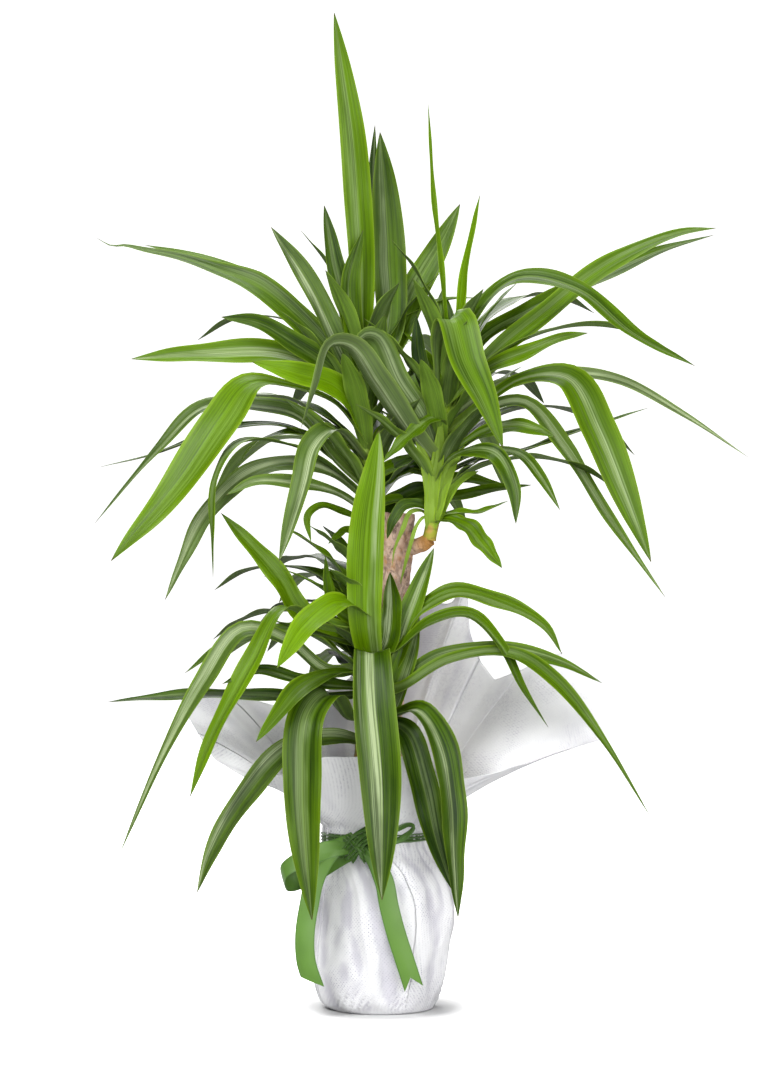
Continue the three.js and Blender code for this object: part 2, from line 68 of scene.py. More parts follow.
# Shoots that carry the leaves
SHOOTS = {
    "upper_left": [(8, 455, 10), (-10, 484, 12), (-15, 527, 12), (-17, 567, 12), (-19, 640, 12)],
    "upper_right": [(46, 467, -6), (50, 487, -6), (54, 517, -6), (60, 560, -5), (68, 640, -4)],
    "lower": [(-8, 250, -24), (-8, 300, -26), (-8, 350, -30), (-9, 404, -36)],
}
# Radii of the shoots at the foot and at the top
CORES = {"upper_left": (7.0, 4.0), "upper_right": (7.0, 4.0), "lower": (21.0, 7.0)}

# Each leaf: share of the way up its shoot, width, face, twist, tone, painted sheen, then its points
# as (across, up, depth).
# Face is how far its upper side is turned to the viewer halfway along: 90 fully, 0 edge on.
# Tone runs from 0, deep green, to 1, fresh green, and on to 2, the pale yellow green of a sheath.
# Painted sheen is how grey the painted reflection in the glossy band on it looks; what it has above
# 1 paints a grey haze of reflection over the whole face.
UPPER_LEFT = [
    (0.95, 28, 90, 10, 0.55, 0.2, (-20, 677, 8), (-21, 747, 4), (-25, 807, 0), (-31, 877, -4),
     (-49, 995, -8)),
    (0.93, 22, 70, 0, 0.35, 0.3, (-29, 672, 2), (-33, 727, -8), (-20, 777, -14)),
    (0.9, 14, 80, 0, 0.1, 0.5, (-15, 700, 22), (-12, 800, 32), (-8, 883, 36)),
    (0.92, 34, 85, 0, 0.3, 0.35, (6, 677, 20), (6, 747, 26), (3, 805, 30), (-3, 875, 33)),
    (0.85, 22, 70, 0, 0.2, 0.3, (-33, 687, 0), (-48, 742, -6), (-59, 802, -10)),
    (0.82, 25, 60, 0, 0.2, 1.1, (-46, 665, -4), (-73, 722, -15), (-112, 780, -25)),
    (0.8, 27, 60, 75, 0.3, 0.2, (-58, 660, 16), (-123, 719, 28), (-170, 738, 36), (-205, 750, 40),
     (-240, 757, 43), (-258, 761, 44), (-272, 761, 45), (-286, 769, 46)),
    (0.86, 18, 45, 0, 0.5, 0.1, (-50, 664, 34), (-110, 715, 52), (-170, 745, 66),
     (-238, 762, 72)),
    (0.72, 24, 62, 0, 0.25, 0.1, (-50, 635, -4), (-90, 664, -22), (-125, 684, -40),
     (-162, 690, -52)),
    (0.68, 28, 60, 0, 0.6, 1.0, (-55, 630, 2), (-100, 652, 0), (-183, 653, -10),
     (-252, 648, -20)),
    (0.62, 27, 70, 0, 1, 0, (-45, 618, -22), (-88, 634, -52), (-131, 645, -62)),
    (0.6, 44, 62, 0, 0.6, 0.1, (-50, 605, -4), (-100, 622, -22), (-133, 622, -42),
     (-160, 588, -62), (-205, 522, -78), (-272, 446, -92)),
    (0.35, 26, 35, 20, 0.3, 1.1, (-48, 548, 6), (-85, 592, -2), (-130, 602, -10),
     (-180, 600, -18), (-223, 560, -24), (-288, 484, -30)),
    (0.4, 18, 15, 0, 0.1, 0.15, (-50, 548, 20), (-93, 579, 32), (-143, 581, 40), (-231, 552, 46),
     (-283, 540, 48)),
    (0.55, 16, 20, 0, 0.6, 0.2, (-60, 565, 20), (-98, 574, 26), (-130, 560, 30), (-153, 527, 32)),
    (0.3, 16, 10, 40, 0.45, 0.3, (-48, 537, -12), (-90, 561, -40), (-145, 563, -72),
     (-166, 530, -88), (-170, 429, -100)),
    (0.28, 26, 50, 20, 0.3, 1.18, (-50, 532, -10), (-95, 543, -30), (-138, 529, -50),
     (-175, 492, -62), (-218, 407, -76)),
    (0.2, 18, 50, 0, 0.4, 1.12, (-45, 512, -16), (-88, 523, -50), (-128, 525, -85),
     (-157, 512, -110)),
    (0.5, 22, 75, 0, 0.3, 1.1, (-50, 577, -34), (-72, 560, -66), (-82, 522, -84),
     (-104, 445, -96)),
    (0.16, 10, 40, 0, 0.7, 0, (-42, 495, -6), (-62, 501, -16), (-75, 491, -22), (-72, 465, -26)),
    (0.1, 10, 40, 0, 0.9, 0, (-38, 476, 4), (-44, 472, 0), (-55, 463, -4)),
    (0.88, 29, 88, 0, 0.45, 0.3, (9, 662, 26), (32, 717, 36), (57, 762, 44), (77, 803, 50)),
    (0.95, 14, 20, 0, 0.5, 0.2, (10, 680, 30), (40, 700, 36), (70, 708, 40), (97, 709, 44)),
    (0.25, 18, 40, 0, 0.5, 0.2, (10, 506, 30), (60, 508, 42), (100, 516, 44), (149, 522, 42)),
    (0.4, 20, 40, 0, 0.6, 0.2, (14, 540, 34), (60, 529, 54), (95, 526, 60), (130, 518, 62)),
    (0.2, 24, 60, 0, 0.1, 0, (6, 499, 32), (33, 514, 36), (62, 520, 38)),
    (0.34, 22, 60, 0, 0.1, 0, (3, 530, 28), (28, 545, 32), (54, 538, 34)),
]

UPPER_RIGHT = [
    (0.96, 9, 35, 0, 1, 0, (62, 687, 2), (57, 745, 6), (50, 807, 8), (45, 904, 10)),
    (0.94, 16, 30, 0, 1, 0, (79, 697, -2), (84, 740, -2), (97, 812, -2)),
    (0.9, 22, 50, 0, 0.3, 0.2, (92, 690, -12), (134, 729, -24), (197, 717, -40), (250, 674, -52),
     (312, 641, -60)),
    (0.75, 24, 60, -20, 0.5, 0.2, (107, 648, 6), (160, 692, 20), (230, 745, 34), (297, 774, 44),
     (334, 779, 48)),
    (0.85, 22, 50, -30, 0.3, 0.3, (99, 668, 26), (150, 697, 50), (220, 730, 72), (282, 757, 84),
     (331, 772, 90)),
    (0.78, 20, 55, 0, 0.5, 0.3, (100, 634, -24), (147, 655, -60), (177, 668, -84),
     (205, 674, -104)),
    (0.6, 38, 75, 0, 0.45, 0.15, (56, 628, -26), (58, 668, -38), (70, 688, -54), (84, 645, -74),
     (102, 607, -86), (120, 559, -94)),
    (0.6, 40, 68, 0, 0.5, 0.65, (100, 602, -12), (140, 628, -22), (185, 628, -34),
     (214, 577, -46), (240, 515, -56), (268, 445, -64)),
    (0.68, 18, 45, 0, 0.3, 1.4, (110, 616, 16), (177, 632, 26), (237, 626, 30), (300, 592, 28),
     (365, 550, 22)),
    (0.5, 24, 45, 20, 0.6, 1.1, (92, 590, 4), (140, 604, 10), (180, 560, 8), (225, 490, 2),
     (282, 410, -6)),
    (0.35, 16, 15, 0, 0.35, 0.3, (90, 545, 12), (130, 553, 20), (200, 577, 26), (265, 599, 30)),
    (0.45, 20, 50, 0, 0.4, 0.4, (90, 568, -16), (125, 580, -46), (150, 578, -70),
     (172, 570, -92)),
    (0.3, 20, 50, 20, 0.3, 0.5, (62, 542, -26), (85, 555, -48), (112, 552, -66), (130, 520, -74),
     (133, 483, -78)),
    (0.38, 16, 40, 0, 0.35, 0.5, (90, 552, -24), (135, 553, -52), (157, 530, -62),
     (177, 497, -68)),
    (0.12, 12, 20, 0, 0.8, 0.1, (70, 494, -8), (97, 495, -10), (125, 506, -12)),
    (0.1, 22, 55, 10, 0.6, 0.2, (62, 487, -12), (84, 480, -24), (100, 462, -34), (119, 439, -42)),
    (0.62, 20, 45, 10, 0.5, 0.3, (52, 588, -28), (30, 574, -48), (0, 545, -62)),
    (0.42, 30, -55, 0, 0.2, 1.15, (28, 575, -34), (-6, 625, -62), (-32, 661, -84),
     (-52, 662, -92), (-66, 622, -96), (-82, 579, -98)),
    (0.4, 30, -80, 0, 0.25, 0.5, (38, 585, -22), (12, 625, -32), (-8, 668, -38), (-20, 668, -44),
     (-22, 638, -46)),
    (0.7, 16, 85, 0, 0, 0, (48, 610, -6), (36, 650, -6), (33, 692, -4)),
    (0.1, 5, 75, 0, 1.9, 0, (38, 496, -12), (27, 494, -17), (20, 478, -20), (12, 459, -17),
     (9, 440, -15)),
    (0.16, 12, 70, 0, 0.2, 0.1, (38, 502, -14), (22, 502, -18), (10, 486, -22), (4, 468, -22)),
    (0.03, 13, 80, 0, 1.7, 0, (46, 490, -13), (47, 515, -15), (42, 545, -19), (32, 570, -26)),
    (0.05, 13, 75, 0, 1.5, 0, (53, 490, -12), (59, 515, -14), (68, 540, -16), (82, 562, -18)),
    (0.1, 13, 80, 0, 1.6, 0, (50, 505, -14), (52, 530, -17), (56, 556, -18), (58, 590, -22)),
    (0.06, 12, 70, 0, 1.3, 0, (57, 492, -8), (65, 512, -10), (78, 528, -10), (96, 536, -12)),
    (0.08, 4, 75, 0, 1.8, 0, (42, 490, -12), (34, 482, -18), (28, 464, -21), (22, 442, -20),
     (17, 422, -17)),
]

LOWER = [
    (0.75, 24, 60, 0, 0.7, 0.1, (-80, 392, -28), (-105, 430, -34), (-162, 494, -42)),
    (0.8, 14, 60, 0, 0.5, 0.2, (-50, 402, -48), (-56, 425, -56), (-58, 451, -60)),
    (0.5, 36, 85, 0, 0.8, 0.7, (-17, 380, -56), (-18, 430, -64), (-15, 490, -74), (-9, 535, -82),
     (-4, 577, -88)),
    (0.4, 42, 88, 0, 0.18, 0.95, (-10, 330, -50), (-11, 354, -72), (-9, 307, -100),
     (-2, 220, -116), (-1, 107, -122)),
    (0.6, 22, 70, 0, 0.3, 0.9, (6, 365, -46), (10, 400, -48), (7, 435, -46)),
    (0.5, 22, 75, 0, 0.4, 0.9, (10, 345, -40), (27, 395, -44), (51, 459, -40)),
    (0.2, 26, 75, 0, 0.3, 0.5, (6, 300, -40), (18, 335, -44), (36, 392, -46)),
    (0.6, 24, 50, 10, 0.4, 1.08, (-55, 334, -34), (-98, 366, -46), (-140, 376, -52),
     (-178, 325, -60), (-220, 250, -66), (-263, 154, -68)),
    (0.7, 16, 45, 0, 0.5, 0.3, (-90, 376, -26), (-153, 364, -26), (-198, 334, -24)),
    (0.8, 28, 40, -20, 0.75, 0.1, (-60, 378, -58), (-98, 398, -86), (-130, 345, -112),
     (-170, 270, -130), (-193, 210, -138)),
    (0.4, 20, 30, 0, 0.1, 0.3, (-53, 308, -34), (-140, 311, -44), (-203, 311, -48),
     (-275, 305, -48)),
    (0.85, 30, 60, 0, 0.9, 0, (-22, 396, -56), (-45, 404, -82), (-78, 380, -116),
     (-106, 339, -142)),
    (0.45, 16, 50, 0, 0.2, 0.4, (-45, 322, -50), (-85, 328, -78), (-125, 337, -100),
     (-161, 323, -116)),
    (0.5, 26, 45, -10, 0.5, 0.1, (-45, 334, -62), (-80, 320, -98), (-105, 292, -122),
     (-127, 265, -138)),
    (0.06, 28, 55, 10, 0.3, 1.08, (-50, 268, -48), (-93, 257, -72), (-135, 212, -86),
     (-170, 155, -96), (-186, 114, -100)),
    (0.25, 38, 82, 0, 0.3, 0.25, (-36, 288, -46), (-56, 312, -78), (-76, 290, -110),
     (-80, 225, -126), (-77, 155, -130), (-71, 87, -132)),
    (0.75, 20, 50, 0, 0.5, 0.3, (10, 362, -38), (38, 398, -46), (72, 415, -50), (117, 405, -54),
     (160, 383, -56), (179, 353, -58)),
    (0.7, 22, 35, 0, 0.4, 0.3, (12, 355, -50), (45, 382, -62), (85, 391, -72), (117, 362, -82),
     (140, 318, -88), (165, 280, -90)),
    (0.5, 18, 50, 0, 0.4, 0.4, (14, 325, -42), (57, 350, -52), (117, 357, -60), (177, 344, -66),
     (219, 324, -70)),
    (0.45, 24, 35, 0, 0.45, 0.35, (16, 316, -58), (67, 345, -74), (127, 352, -84),
     (170, 326, -90), (220, 265, -96), (267, 191, -100)),
    (0.3, 30, 60, 0, 0.2, 0.95, (10, 290, -54), (36, 296, -80), (58, 262, -94), (68, 207, -104),
     (71, 147, -108), (75, 89, -110)),
    (0.12, 28, 75, 0, 0.1, 0.2, (4, 282, -52), (24, 272, -76), (40, 222, -86), (52, 170, -90),
     (69, 117, -92)),
]

# Leaves set round a shoot by the golden angle: their count, the angles and the shares of the shoot
# that they start from, reach, rise, width and how these vary. None points into the clear angles.
BACK_RING = dict(count=8, reach=270, rise=25, steeper=45, droop=20, width=26, vary=(1.0, 1.0),
                 reach_from=0.85, reach_by=0.3, stretches=5, lean=0.0, tone=(0.1, 0.6),
                 bloom=(0.0, 0.3), clear=(0, 0), seed=500)
INNER_RING = dict(count=18, start=0, end=360, high=1.0, rise=42, steeper=38, droop=9,
                  vary=(0.8, 1.2), reach_from=0.75, reach_by=0.5, stretches=4, lean=0.8,
                  tone=(0.1, 0.9), bloom=(0.0, 0.4), clear=(0, 0), seed=900)
RINGS = {
    "upper_left": {
        "back": dict(BACK_RING, start=60, end=175, low=0.2, high=0.9),
        "inner": dict(INNER_RING, low=0.25, reach=135, width=23),
    },
    "upper_right": {
        "back": dict(BACK_RING, start=5, end=115, low=0.2, high=0.9),
        "inner": dict(INNER_RING, low=0.2, reach=125, width=21),
    },
    "lower": {
        "back": dict(BACK_RING, start=112, end=150, low=0.4, high=0.95, reach=240, rise=22,
                     steeper=22, droop=16),
        "inner": dict(INNER_RING, count=12, start=85, end=235, low=0.35, reach=120, rise=35,
                      steeper=30, droop=10, width=22, clear=(20, 130)),
    },
}
# Each blade's random numbers come from its place in its table or ring, added to a first number
TABLE_SEED = 100
LEAVES = {"upper_left": UPPER_LEFT, "upper_right": UPPER_RIGHT, "lower": LOWER}

# How a blade narrows beyond its middle: late, or evenly
FULL, SLENDER = 2.2, 1.0
# Leaves of the tables that narrow evenly
SLENDER_LEAVES = {"upper_left": (6, 12, 14), "upper_right": (8, 9, 20), "lower": (7, 19, 17)}
# Leaves that stay narrow as far as their bend, and broaden beyond it
LATE_LEAVES = {"upper_left": (11,), "upper_right": (6, 7), "lower": ()}
# Where the painted glossy band, a painted reflection, lies on some blades: share of the width from
# the midrib
PAINTED_SHEEN_BANDS = {"upper_left": {0: 0.1}, "upper_right": {7: 0.0, 8: 0.1},
         "lower": {2: -0.25, 3: -0.12, 4: 0.15, 5: 0.0, 15: -0.05, 20: -0.05}}
# Half width from which a blade has its full ribs and waves
BROAD = 8.0
# How strongly streaks along the blades move their green
STREAKS = {"upper_left": 0.5, "upper_right": 0.5, "lower": 0.6}

# How finely the templates are divided: strips along and across, bars around and along
FINENESS = {"blade": (46, 14), "ribbon": (72, 12), "shoot": (20, 36), "cane": (72, 150),
            "branch": (32, 18)}
# Points round the smooth sheet, and its rows up the pot and out from the neck
SHEET_GRID = dict(around=720, body_rows=62, flare_rows=48)
# Degrees between two faces above which an edge shows; at 180 none does
CRISP, SOFT = 60.0, 180.0

# Rings up the wrapped pot: height, centre across, half width, half depth
BODY_RINGS = [
    (0, -2, 52, 52), (7, -5, 58, 57), (30, -4, 65, 64), (92, 1, 70, 68.2), (112, 2.8, 68, 65.7),
    (132, 0.6, 63.6, 58.7), (162, -7.5, 52.7, 45.6), (182, -7.5, 52.7, 45.6),
]
# The sheet's free edge above the tie, once round from the right corner
RIM = [
    (234, 271, -35), (222, 322, -6), (185, 357, 28), (142, 339, 40), (112, 327, 46), (97, 347, 54),
    (87, 375, 60), (84, 423, 66), (68, 403, 70), (38, 404, 74), (5, 360, 80), (-40, 320, 86),
    (-90, 296, 90), (-140, 310, 80), (-180, 318, 52), (-203, 307, 20), (-193, 287, -4),
    (-168, 247, -22), (-138, 229, -32), (-100, 232, -44), (-61, 250, -58), (-18, 250, -62),
    (15, 252, -58), (45, 240, -54), (79, 228, -56), (117, 236, -54), (177, 256, -50),
]
# The angle where that corner stands and where every row of the sheet begins
RIM_START = -20.0
# Radii of the sheet's rows under the pot, and the height of its middle there
UNDER_POT = (0.0, 14.0, 26.0, 38.0, 46.0)
SHEET_FLOOR = 0.4
# Laps of spare cloth: angle at the neck, angle at the foot, share of it left in the flare
LAPS = [(-157, -158, 0.5), (-106, -62, 0.8), (-20, 0, 0), (10, 22, 0), (34, 44, 0.6), (56, 64, 1),
        (80, 84, 1), (103, 104, 1), (126, 124, 1), (148, 145, 1), (168, 166, 0.5), (190, 192, 0)]
# Flat panels of the flared sheet: middle angle, half width, share of the folds that is left
CALM = [(-2, 40, 0.10), (-95, 40, 0.16), (-178, 38, 0.16), (75, 28, 0.25)]
# Long folds down the body: angle at the neck, angle at the foot, height, width in degrees
FOLDS = [(-126, -87, 4.6, 5.0), (-72, -48, 2.4, 8.0), (-170, -165, 2.0, 8.0),
         (-36, -14, 2.6, 8.0), (35, 46, 2.4, 8.0), (96, 98, 2.4, 9.0), (128, 124, 2.4, 8.0)]

# The gathered neck, where the ribbon is tied
NECK = dict(height=172.0, across=-7.5, half_width=52.7, half_depth=45.6, outside=0.75)
LEFT_TAIL = [(-28, 168, -52), (-52, 155, -62), (-67, 131, -74), (-74, 101, -82), (-78, 74, -85),
             (-77, 46, -85), (-68, 18, -81)]
RIGHT_TAIL = [(-24, 162, -54), (-9, 146, -66), (1, 126, -74), (6, 101, -78), (13, 74, -80),
              (22, 46, -79), (31, 18, -77)]
LEFT_LOOP = [(-28, 160, -54), (-52, 158, -64), (-80, 148, -74), (-99, 136, -74), (-99, 126, -66),
             (-88, 126, -58), (-62, 138, -54), (-34, 152, -52)]
RIGHT_LOOP = [(-20, 164, -56), (4, 172, -62), (24, 182, -66), (31, 181, -68), (24, 172, -66),
              (4, 162, -60), (-18, 158, -54)]
# The way the knot faces
KNOT_FACE = np.array([0.5, -1.0, 0.3])
# The crumpled knot: folded lengths across the crossing, each from end to end
KNOT_FOLDS = [
    [(-42, 150, -54), (-34, 160, -61), (-26, 170, -62), (-14, 178, -57)],
    [(-38, 170, -54), (-30, 166, -63), (-22, 158, -64), (-16, 146, -58)],
    [(-34, 146, -56), (-27, 156, -64), (-20, 166, -63), (-8, 172, -56)],
]

# Studio lights, in metres and watts: name, place, side, power. All shine on one point.
LAMPS = [
    ("key_light", (-1.3, -2.0, 2.3), 1.4, 92.0),
    ("front_light", (0.7, -2.8, 0.9), 1.8, 66.0),
    ("top_light", (0.2, 0.3, 2.8), 1.3, 42.0),
    ("right_light", (2.4, -1.2, 1.3), 1.2, 20.0),
    ("back_light", (-0.6, 2.0, 2.2), 1.6, 42.0),
]
LIT = (0.0, 0.0, 0.5)
# Soft daylight from all sides: its colour and its strength
SKY = ((0.96, 0.98, 1.0, 1.0), 0.86)


# Settings


def size(name, description, default):
    return FloatProperty(name=name, description=description, default=default, min=0.0,
                         unit="LENGTH", precision=5)


def share(name, description, default):
    return FloatProperty(name=name, description=description, default=default, min=0.0, max=1.0,
                         subtype="FACTOR")


def tint(name, description, default):
    return FloatVectorProperty(name=name, description=description, default=(*default, 1.0), size=4,
                               min=0.0, max=1.0, subtype="COLOR")


class YuccaLeafSettings(bpy.types.PropertyGroup):
    """Sizes and colours of the leaves"""

    thickness: size("Thickness", "Thickness of a blade at its middle", 0.0009)
    ripple: size("Ripple", "Depth of the long ribs pressed into a blade", 0.0003)
    edge_wave: size("Edge wave", "How far a blade's edges wave up and down", 0.0012)
    channel: share("Channel", "How deep a blade is folded along its middle", 0.10)
    deep: tint("Deep green", "Shaded green of the older leaves", (0.010, 0.029, 0.001))
    fresh: tint("Fresh green", "Green of the younger leaves", (0.118, 0.235, 0.001))
    # Grey: the colour of the painted reflection along the blades; it also pales their undersides a
    # little
    grey: tint("Grey bloom", "Colour of the glossy bloom along a blade", (0.31, 0.38, 0.20))
    foot: tint("Foot", "Pale green of the clasping foot", (0.24, 0.36, 0.05))
    tip: tint("Dry tip", "Brown of the dried tips", (0.07, 0.06, 0.02))
    young: tint("Young green", "Yellow green of the young parts and margins", (0.21, 0.34, 0.009))


class YuccaCaneSettings(bpy.types.PropertyGroup):
    """Sizes and colours of the canes"""

    tall_foot: size("Tall cane foot", "Radius of the tall cane in the soil", 0.0195)
    tall_top: size("Tall cane top", "Radius of the tall cane at its cut", 0.0175)
    short_foot: size("Short cane foot", "Radius of the short cane in the soil", 0.014)
    short_top: size("Short cane top", "Radius of the short cane at its crown", 0.013)
    branch: size("Branch", "Radius of the branch below the cut", 0.0072)
    relief: size("Bark relief", "Depth of the cracks and scars", 0.0011)
    bark: tint("Bark", "Weathered bark", (0.42, 0.26, 0.18))
    cork: tint("Pale cork", "Pale ridges of the bark", (0.62, 0.45, 0.35))
    crack: tint("Cracks", "Dark cracks and scars", (0.07, 0.035, 0.028))
    cut: tint("Cut", "Greyed wood of the cut top", (0.36, 0.31, 0.25))
    bud: tint("Bud scale", "Orange brown foot of a shoot", (0.50, 0.24, 0.06))


class YuccaWrapSettings(bpy.types.PropertyGroup):
    """The floral sheet: its size, its folds and its colours"""

    side: size("Side", "Side of the square sheet before it is gathered", 0.65)
    thickness: size("Thickness", "Thickness of the nonwoven sheet", 0.0004)
    pleats: IntProperty(name="Pleats", description="Pleats gathered into the neck", default=40,
                        min=8, max=80)
    columns: IntProperty(name="Columns", description="Columns of the cloth that lie forward",
                         default=315, min=60, max=400)
    pleat_depth: size("Pleat depth", "Depth of a pleat under the ribbon", 0.0016)
    crumple: size("Crumple", "Height of the creases all over the sheet", 0.0024)
    fullness: share("Fullness", "How much spare cloth lies in the laps", 1.0)
    lap_lift: size("Lap lift", "How far a lap stands off the layer under it", 0.0005)
    dot_pitch: size("Dot pitch", "Distance between the pressed dots", 0.0036)
    white: tint("White", "The sheet in the light", (0.80, 0.80, 0.815))
    # Shade: the colour of the painted shade in the sheet's folds; its faint clouds and the pressed
    # dots take it too
    shade: tint("Shade", "The sheet in its folds", (0.44, 0.425, 0.50))


class YuccaRibbonSettings(bpy.types.PropertyGroup):
    """Sizes and colours of the satin ribbon"""

    width: size("Width", "Width of the satin ribbon", 0.019)
    length: size("Length", "Length of the ribbon cut for the bow", 0.86)
    thickness: size("Thickness", "Thickness of the ribbon", 0.0006)
    satin: tint("Satin", "Lit satin", (0.098, 0.215, 0.026))
    dark: tint("Turned satin", "Satin turned from the light", (0.045, 0.115, 0.014))
    border: tint("Border", "The woven border", (0.060, 0.145, 0.020))


class YuccaPotSettings(bpy.types.PropertyGroup):
    """Colours of the nursery pot and the soil"""

    plastic: tint("Plastic", "Moulded nursery plastic", (0.022, 0.022, 0.024))
    soil: tint("Soil", "Moist potting soil", (0.040, 0.024, 0.014))
    crumb: tint("Crumbs", "Bark and fibre crumbs in the soil", (0.16, 0.095, 0.050))


class YuccaStageSettings(bpy.types.PropertyGroup):
    """Where the camera stands, its lens and the floor"""

    distance: size("Distance", "From the camera to the plant", 3.0)
    height: size("Height", "Height of the camera above the floor", 0.467)
    across: size("Across", "Camera to the right of the plant", 0.002)
    lens: FloatProperty(name="Lens", description="Focal length on a 36 mm long side",
                        default=100.0, min=20.0, max=300.0, unit="CAMERA")
    floor: tint("Floor", "Plain pale floor", (0.90, 0.90, 0.90))


class YuccaSettings(bpy.types.PropertyGroup):
    """All settings of the plant, kept on the scene"""

    leaves: PointerProperty(type=YuccaLeafSettings)
    canes: PointerProperty(type=YuccaCaneSettings)
    wrap: PointerProperty(type=YuccaWrapSettings)
    ribbon: PointerProperty(type=YuccaRibbonSettings)
    pot: PointerProperty(type=YuccaPotSettings)
    stage: PointerProperty(type=YuccaStageSettings)


# Routes


def seen(point):
    """Where a point given as (across, up, depth) in the front view really is."""
    across, up, depth = point
    spread = (VIEW_DISTANCE + depth) / VIEW_DISTANCE
    return (VIEW_ACROSS + (across - VIEW_ACROSS) * spread, depth,
            VIEW_HEIGHT + (up - VIEW_HEIGHT) * spread)


def seen_line(points):
    return [seen(point) for point in points]


def unit(vectors):
    """Vectors of length 1."""
    return vectors / np.maximum(np.linalg.norm(vectors, axis=-1, keepdims=True), 1e-12)


def smooth(edge0, edge1, value):
    """Eases from 0 to 1 while the value goes from one edge to the other."""
    t = np.clip((value - edge0) / (edge1 - edge0), 0.0, 1.0)
    return t * t * (3.0 - 2.0 * t)


def curve_through(points, closed=False, dense=48):
    """Dense points on the centripetal Catmull-Rom curve through the given ones."""
    p = np.asarray(points, float)
    if closed:
        p = np.vstack([p[-1:], p, p[:2]])
    else:
        p = np.vstack([2 * p[0] - p[1], p, 2 * p[-1] - p[-2]])
    t = np.linspace(0.0, 1.0, dense, endpoint=False)[:, None]
    stretches = []
    for a, b, c, d in zip(p, p[1:], p[2:], p[3:]):
        ab, bc, cd = (math.sqrt(np.linalg.norm(v)) for v in (b - a, c - b, d - c))
        leave = ((b - a) / ab - (c - a) / (ab + bc) + (c - b) / bc) * bc
        arrive = ((c - b) / bc - (d - b) / (bc + cd) + (d - c) / cd) * bc
        cubic = 2 * b - 2 * c + leave + arrive
        square = -3 * b + 3 * c - 2 * leave - arrive
        stretches.append(b + leave * t + square * t**2 + cubic * t**3)
    end = p[1] if closed else p[-2]
    return np.vstack([*stretches, end[None]])


class Route:
    """A smooth curve walked by its share of length, with a frame that turns only as it bends."""

    def __init__(self, points, face=FRONT, twist=0.0, closed=False):
        line = curve_through(points, closed)
        steps = np.linalg.norm(np.diff(line, axis=0), axis=1)
        along = np.concatenate([[0.0], np.cumsum(steps)])
        self.length = along[-1]
        self.shares = np.linspace(0.0, 1.0, STATIONS + 1)
        at = self.shares * self.length
        self.points = np.column_stack([np.interp(at, along, row) for row in line.T])
        # rows of rings, which have more than three numbers, need no frame
        if line.shape[1] != 3:
            return
        self.tangents = unit(np.gradient(self.points, axis=0))
        middle = STATIONS // 2
        ups = np.empty_like(self.points)
        ups[middle] = self._square(np.asarray(face, float), middle)
        for i in range(middle + 1, STATIONS + 1):
            ups[i] = self._square(ups[i - 1], i)
        for i in range(middle - 1, -1, -1):
            ups[i] = self._square(ups[i + 1], i)
        turn = (math.radians(twist) * (self.shares - 0.5))[:, None]
        self.ups = ups * np.cos(turn) + np.cross(self.tangents, ups) * np.sin(turn)
        self.sides = np.cross(self.ups, self.tangents)

    def _square(self, direction, i):
        """The direction, turned square to the curve at a station."""
        return unit(direction - self.tangents[i] * np.dot(direction, self.tangents[i]))

    def _walk(self, rows, shares):
        return np.column_stack([np.interp(shares, self.shares, row) for row in rows.T])

    def at(self, shares):
        """Points at these shares of the length."""
        return self._walk(self.points, shares)

    def lay(self, shares, across, above):
        """Points at these shares, so far to the side and above the curve."""
        sides = unit(self._walk(self.sides, shares))
        ups = unit(self._walk(self.ups, shares))
        return self.at(shares) + sides * across[:, None] + ups * above[:, None]


# Meshes


def deselect():
    if bpy.context.object and bpy.context.object.mode != "OBJECT":
        bpy.ops.object.mode_set(mode="OBJECT")
    bpy.ops.object.select_all(action="DESELECT")


def activate(piece):
    deselect()
    piece.select_set(True)
    bpy.context.view_layer.objects.active = piece


def coordinates(mesh):
    """A mesh's vertices, one row each."""
    flat = np.empty(len(mesh.vertices) * 3)
    mesh.vertices.foreach_get("co", flat)
    return flat.reshape(-1, 3)


def move_to(mesh, points):
    """Puts a mesh's vertices at points given in millimetres."""
    mesh.vertices.foreach_set("co", (np.asarray(points) * METRE).ravel())
    mesh.update()


def mark(mesh, **marks):
    """Gives the vertices named values, each one number for all or one number a vertex."""
    for name, values in marks.items():
        layer = mesh.attributes.get(name) or mesh.attributes.new(name, "FLOAT", "POINT")
        spread = np.broadcast_to(values, len(mesh.vertices))
        layer.data.foreach_set("value", np.ascontiguousarray(spread, dtype=float))


def unwrap_flat(mesh, name, columns):
    """A UV map from two columns given for each vertex."""
    for old in list(mesh.uv_layers):
        mesh.uv_layers.remove(old)
    layer = mesh.uv_layers.new(name=name)
    corner = np.empty(len(mesh.loops), dtype=int)
    mesh.loops.foreach_get("vertex_index", corner)
    layer.data.foreach_set("uv", columns[corner].ravel())


def copy_of(template, name):
    """A copy with its own mesh."""
    piece = bpy.data.objects.new(name, template.data.copy())
    piece.data.name = name
    bpy.context.collection.objects.link(piece)
    return piece


def discard(*pieces):
    for piece in pieces:
        bpy.data.objects.remove(piece)


def apply(piece, modifier):
    activate(piece)
    bpy.ops.object.modifier_apply(modifier=modifier.name)


def join(pieces, name):
    deselect()
    for piece in pieces:
        piece.select_set(True)
    bpy.context.view_layer.objects.active = pieces[0]
    bpy.ops.object.join()
    joined = bpy.context.object
    joined.name = joined.data.name = name
    return joined


def shade(piece, angle):
    """Smooth shading, with an edge where the faces turn by more than the angle in degrees."""
    activate(piece)
    bpy.ops.object.shade_smooth_by_angle(angle=math.radians(angle))


def weld(piece, distance):
    activate(piece)
    bpy.ops.object.mode_set(mode="EDIT")
    bpy.ops.mesh.select_all(action="SELECT")
    bpy.ops.mesh.remove_doubles(threshold=distance)
    bpy.ops.object.mode_set(mode="OBJECT")


def pick(piece, kind, wanted):
    """Selects just the wanted edges or faces of the piece that is being edited."""
    mesh = bmesh.from_edit_mesh(piece.data)
    for element in getattr(mesh, kind):
        element.select_set(wanted(element))
    bmesh.update_edit_mesh(piece.data)


